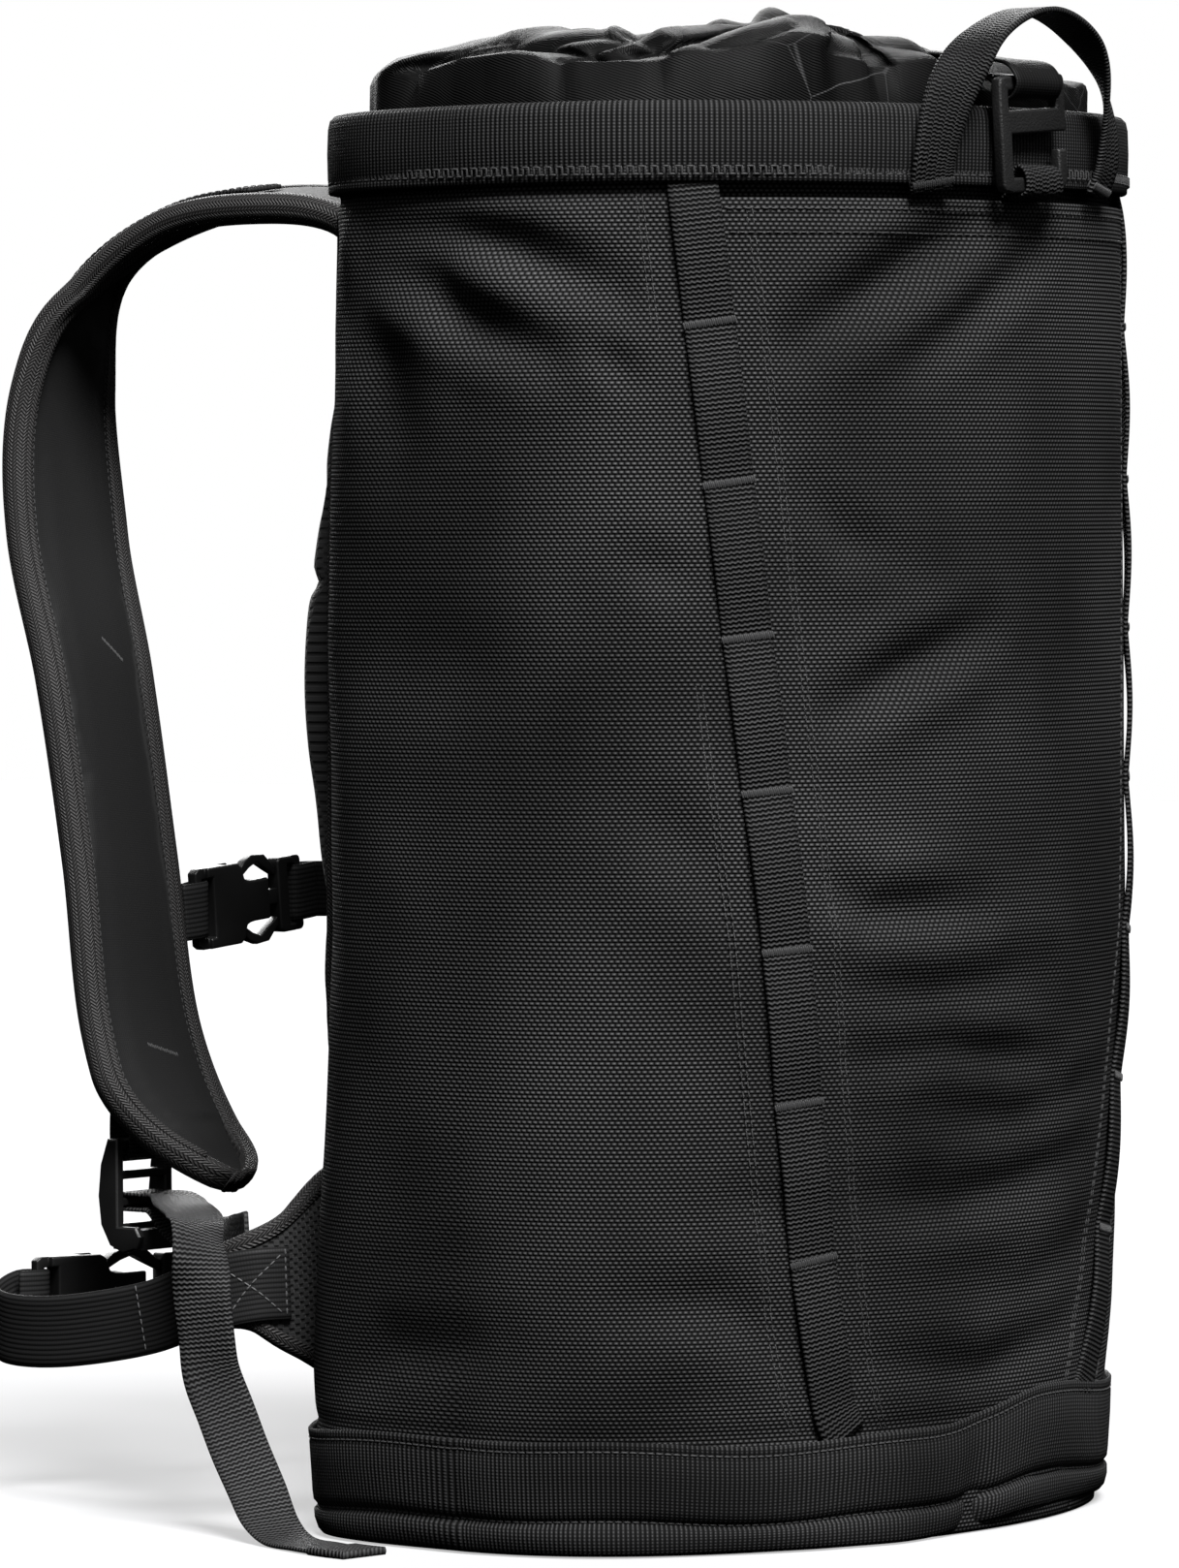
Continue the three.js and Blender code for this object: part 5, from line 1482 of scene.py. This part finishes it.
def strap_tacks(side, word, route, pad):
    """Bar tacks through the pad, sunk in the face towards the bag."""
    bpy.context.view_layer.update()
    rows = []
    face = 1 if route.normal[len(route.s) // 2][1] < 0 else -1
    for level, place, width, slant in ((297, -6, 11, 0.8), (155, -2, 14, 0.25)):
        i = int(np.flatnonzero(route.at[:, 2] > level)[-1])
        across = route.wide[i] * -side + route.tangent[i] * slant
        normal = route.normal[i] * face
        centre = route.offset(side * place, 0)[i]
        places, tilts, normals = bar_tack(centre, across, route.tangent[i], normal, width, 16)
        starts = (places + normal * 20) * MM
        hits = [pad.ray_cast(Vector(start), Vector(-normal))[1] for start in starts]
        rows.append((np.array(hits) / MM, tilts, normals))
    stitches(f"strap_tacks_{word}", rows, length=1.8, thick=0.7)


# ---- Ladder locks and adjusters ----


def ladder_parts(side, word):
    bar = 15
    loop = Route(
        [
            (side * 97, 198.6, 164),
            (side * 98, 195.2, 153),
            ladder_point(side, 4.5, bar + 9),
            ladder_point(side, 4.5, bar + 1),
            ladder_point(side, 3.6, bar - 3.4),
            ladder_point(side, 0, bar - 5.3),
            ladder_point(side, -3.6, bar - 3.4),
            ladder_point(side, -4.5, bar + 1),
            ladder_point(side, -4.6, bar + 8),
            ladder_point(side, -4.6, bar + 13),
        ],
        (1, 0, 0), 1.2,
    )
    ribbon(f"ladder_loop_{word}_webbing", loop, NARROW_WEB, 1.3, STRAP_WEB,
           stands_for=[f"ladder_loop_{word}"])
    wrap_path = [
        (WRAP_END, WRAP_LOW),
        (0, WRAP_LOW),
        (2.4, WRAP_LOW + 0.05),
        (4, WRAP_LOW + 1.2),
        (4, WRAP_HIGH - 1.2),
        (2.4, WRAP_HIGH - 0.05),
        (0, WRAP_HIGH),
        (WRAP_END, WRAP_HIGH),
    ]
    turn = Route([ladder_point(side, y, z) for y, z in wrap_path], (1, 0, 0), 0.8)
    ribbon(f"adjuster_wrap_{word}_webbing", turn, NARROW_WEB, 1.3, TAIL_WEB, body=f"ladder_lock_{word}",
           stands_for=[f"adjuster_wrap_{word}"])
    polish(f"ladder_lock_{word}", PLASTIC, f"ladder_lock_{word}", 0.7)
    path = [
        ladder_point(side, WRAP_END - 0.4, WRAP_LOW),
        ladder_point(side, WRAP_END - 3, WRAP_LOW),
        (side * 102, 168, 98.5),
        (side * 108, 150, 95),
        (side * 117, 132, 95),
        (side * 124, 118.5, 97),
    ]
    across = [
        (1, 0, 0), (1, 0, 0), (0.95, 0, side * -0.3), (0.7, 0, side * -0.7), (0.2, 0, -side), (0, 0, -side),
    ]
    ribbon(f"adjuster_{word}_webbing", Route(path, across, 1.5), NARROW_WEB, 1.6, TAIL_WEB,
           stands_for=[f"adjuster_webbing_{word}"])


# ---- Buckles, sternum strap and hip belt ----

BAR_MIDDLE = 1.6
STERNUM = {"at": (-50, 209.5, 205), "turn": 0.0, "tilt": math.radians(-5), "length": 56.0}
HIP = {"at": (-104, 238, 67), "turn": math.radians(-15), "tilt": 0.0, "length": 67.2}


def placed(place, x, y, z):
    """A buckle's own point in the bag's frame."""
    c, s = math.cos(-place["tilt"]), math.sin(-place["tilt"])
    x, y = x * c - y * s, x * s + y * c
    x, y, z = x, -z, y
    c, s = math.cos(place["turn"]), math.sin(place["turn"])
    return np.array([x * c - y * s, x * s + y * c, z]) + place["at"]


def bar_route(place, near_end):
    middle = BAR_MIDDLE if near_end else place["length"] - BAR_MIDDLE
    bar = placed(place, middle, 0, 0)
    along = placed(place, middle + (1 if near_end else -1), 0, 0) - bar
    normal = placed(place, middle, 0, -1) - bar
    turn = [
        (-14, 1.4), (-6, 2.9), (0, 3.2), (2.6, 2.5), (3.3, 0),
        (2.6, -2.5), (0, -3.2), (-5, -2.9), (-9, -2.2),
    ]
    return [bar + along * a + normal * n for a, n in turn]


def sternum_strap(side, word):
    points = [(side * 94, 214.8, 210), (side * 70, 213.4, 208.5), *bar_route(STERNUM, side < 0)[1:]]
    route = Route(points, (0, 0, 1), 1.2)
    ribbon(f"sternum_{word}_webbing", route, NARROW_WEB, 1.3, BELT_WEB,
           stands_for=[f"sternum_webbing_{word}"])


def hip_belt(side, word):
    wing = [
        (side * 121.5, 101.5, 83), (side * 131.4, 108.6, 82.5),
        (side * 137, 120, 80), (side * 138.5, 132, 76),
    ]
    near = [(-138.6, 150, 70), (-136, 190, 63), (-131.5, 217, 61), (-126, 233, 61.5), (-120.5, 240, 63)]
    far = [(122, 154, 75), (60, 184, 73), (10, 205, 71)]
    turn = bar_route(HIP, side < 0)[1 if side < 0 else 0 :]
    route = Route([*wing, *(near if side < 0 else far), *turn], (0, 0, 1), 1.5)
    ribbon(f"hip_{word}_webbing", route, WIDE_WEB, 1.3, BELT_WEB, stands_for=[f"hip_webbing_{word}"])
    rows = []
    for distance in (2, 26, 62):
        i = int(np.argmin(np.abs(route.s - distance)))
        for face in (1, -1):
            path = np.array([route.at[i] + route.wide[i] * x for x in np.linspace(-11, 11, 12)])
            path = path + route.normal[i] * face * 0.72
            rows.append(seam_row(path, np.tile(route.normal[i] * face, (12, 1)), 2.9, 0))
    for ends in ((-11, 11), (11, -11)):
        stretch = (route.s > 2) & (route.s < 26)
        slant = np.interp(route.s, (2, 26), ends)
        for face in (1, -1):
            path = route.offset(slant, face * 0.72)[stretch]
            rows.append(seam_row(path, route.normal[stretch] * face, 2.9, 0))
    stitches(f"hip_belt_box_seams_{word}", rows, PALE_THREAD, length=2.2, thick=0.6)


def hip_wing(side, word):
    path = [(side * 70, 104.5, 85), (side * 98, 102.5, 84), (side * 118, 104, 83), (side * 129, 112.5, 83),
            (side * 133, 126, 81)]
    route = Route(path, (0, 0, 1), 2)
    narrow = smoothstep(route.share, 0.3, 0.95)
    top, bottom = 38 - 24 * narrow, -36 + 22 * narrow
    section = []
    for t in np.linspace(0, 1, 15):
        section.append((bottom + (top - bottom) * t, 1.1 + 0.9 * (1 - (2 * t - 1) ** 6)))
    upper = [route.offset(x, z) for x, z in section]
    lower = [route.offset(x, -z) for x, z in section[::-1]]
    pad = loft(f"hip_wing_{word}_pad", np.stack([*upper, *lower], 1), (0, 0, 0), MESH, "spacer_mesh",
               stands_for=[f"hip_wing_{word}"])
    inflate(pad, 2.5, 1.5)
    weave_along(pad, route)
    for name, edge, outward in (("upper", top, 1), ("lower", bottom, -1)):
        edge_binding(f"hip_wing_binding_{name}_{word}", route, edge - outward * 1.0, outward, 1.9, 4.5)


back_pad()
collar()
drawcord()
haul_loop()
keeper_loop()
top_strap()
polish("top_hook", GRAINED, width=0.8)
for side, word in SIDES:
    route = strap_route(side)
    pad = strap_pad(side, word, route)
    strap_tape(side, word, route)
    strap_webbing(word, route)
    strap_tacks(side, word, route, pad)
    strap_root(side, word)
    ladder_parts(side, word)
    sternum_strap(side, word)
    hip_wing(side, word)
    hip_belt(side, word)
for name in ("sternum", "hip"):
    polish(f"{name}_buckle_housing", PLASTIC)
    polish(f"{name}_buckle_insert", PLASTIC)
    for which in ("upper", "lower"):
        polish(f"{name}_buckle_arm_{which}", PLASTIC, f"{name}_arm_{which}", 0.35)


# ---- Pieces that stay as they are in the frame, seen only inside the bag ----

KEPT = {
    "floor_stiffener": PLASTIC,
    "frame_sheet": PLASTIC,
    "cord_lock_barrel": PLASTIC,
    "cord_lock_plunger": PLASTIC,
    "cord_lock_spring": STEEL,
}
for node, material in KEPT.items():
    kept = bpy.data.objects[node]
    kept.data.materials.clear()
    kept.data.materials.append(material)
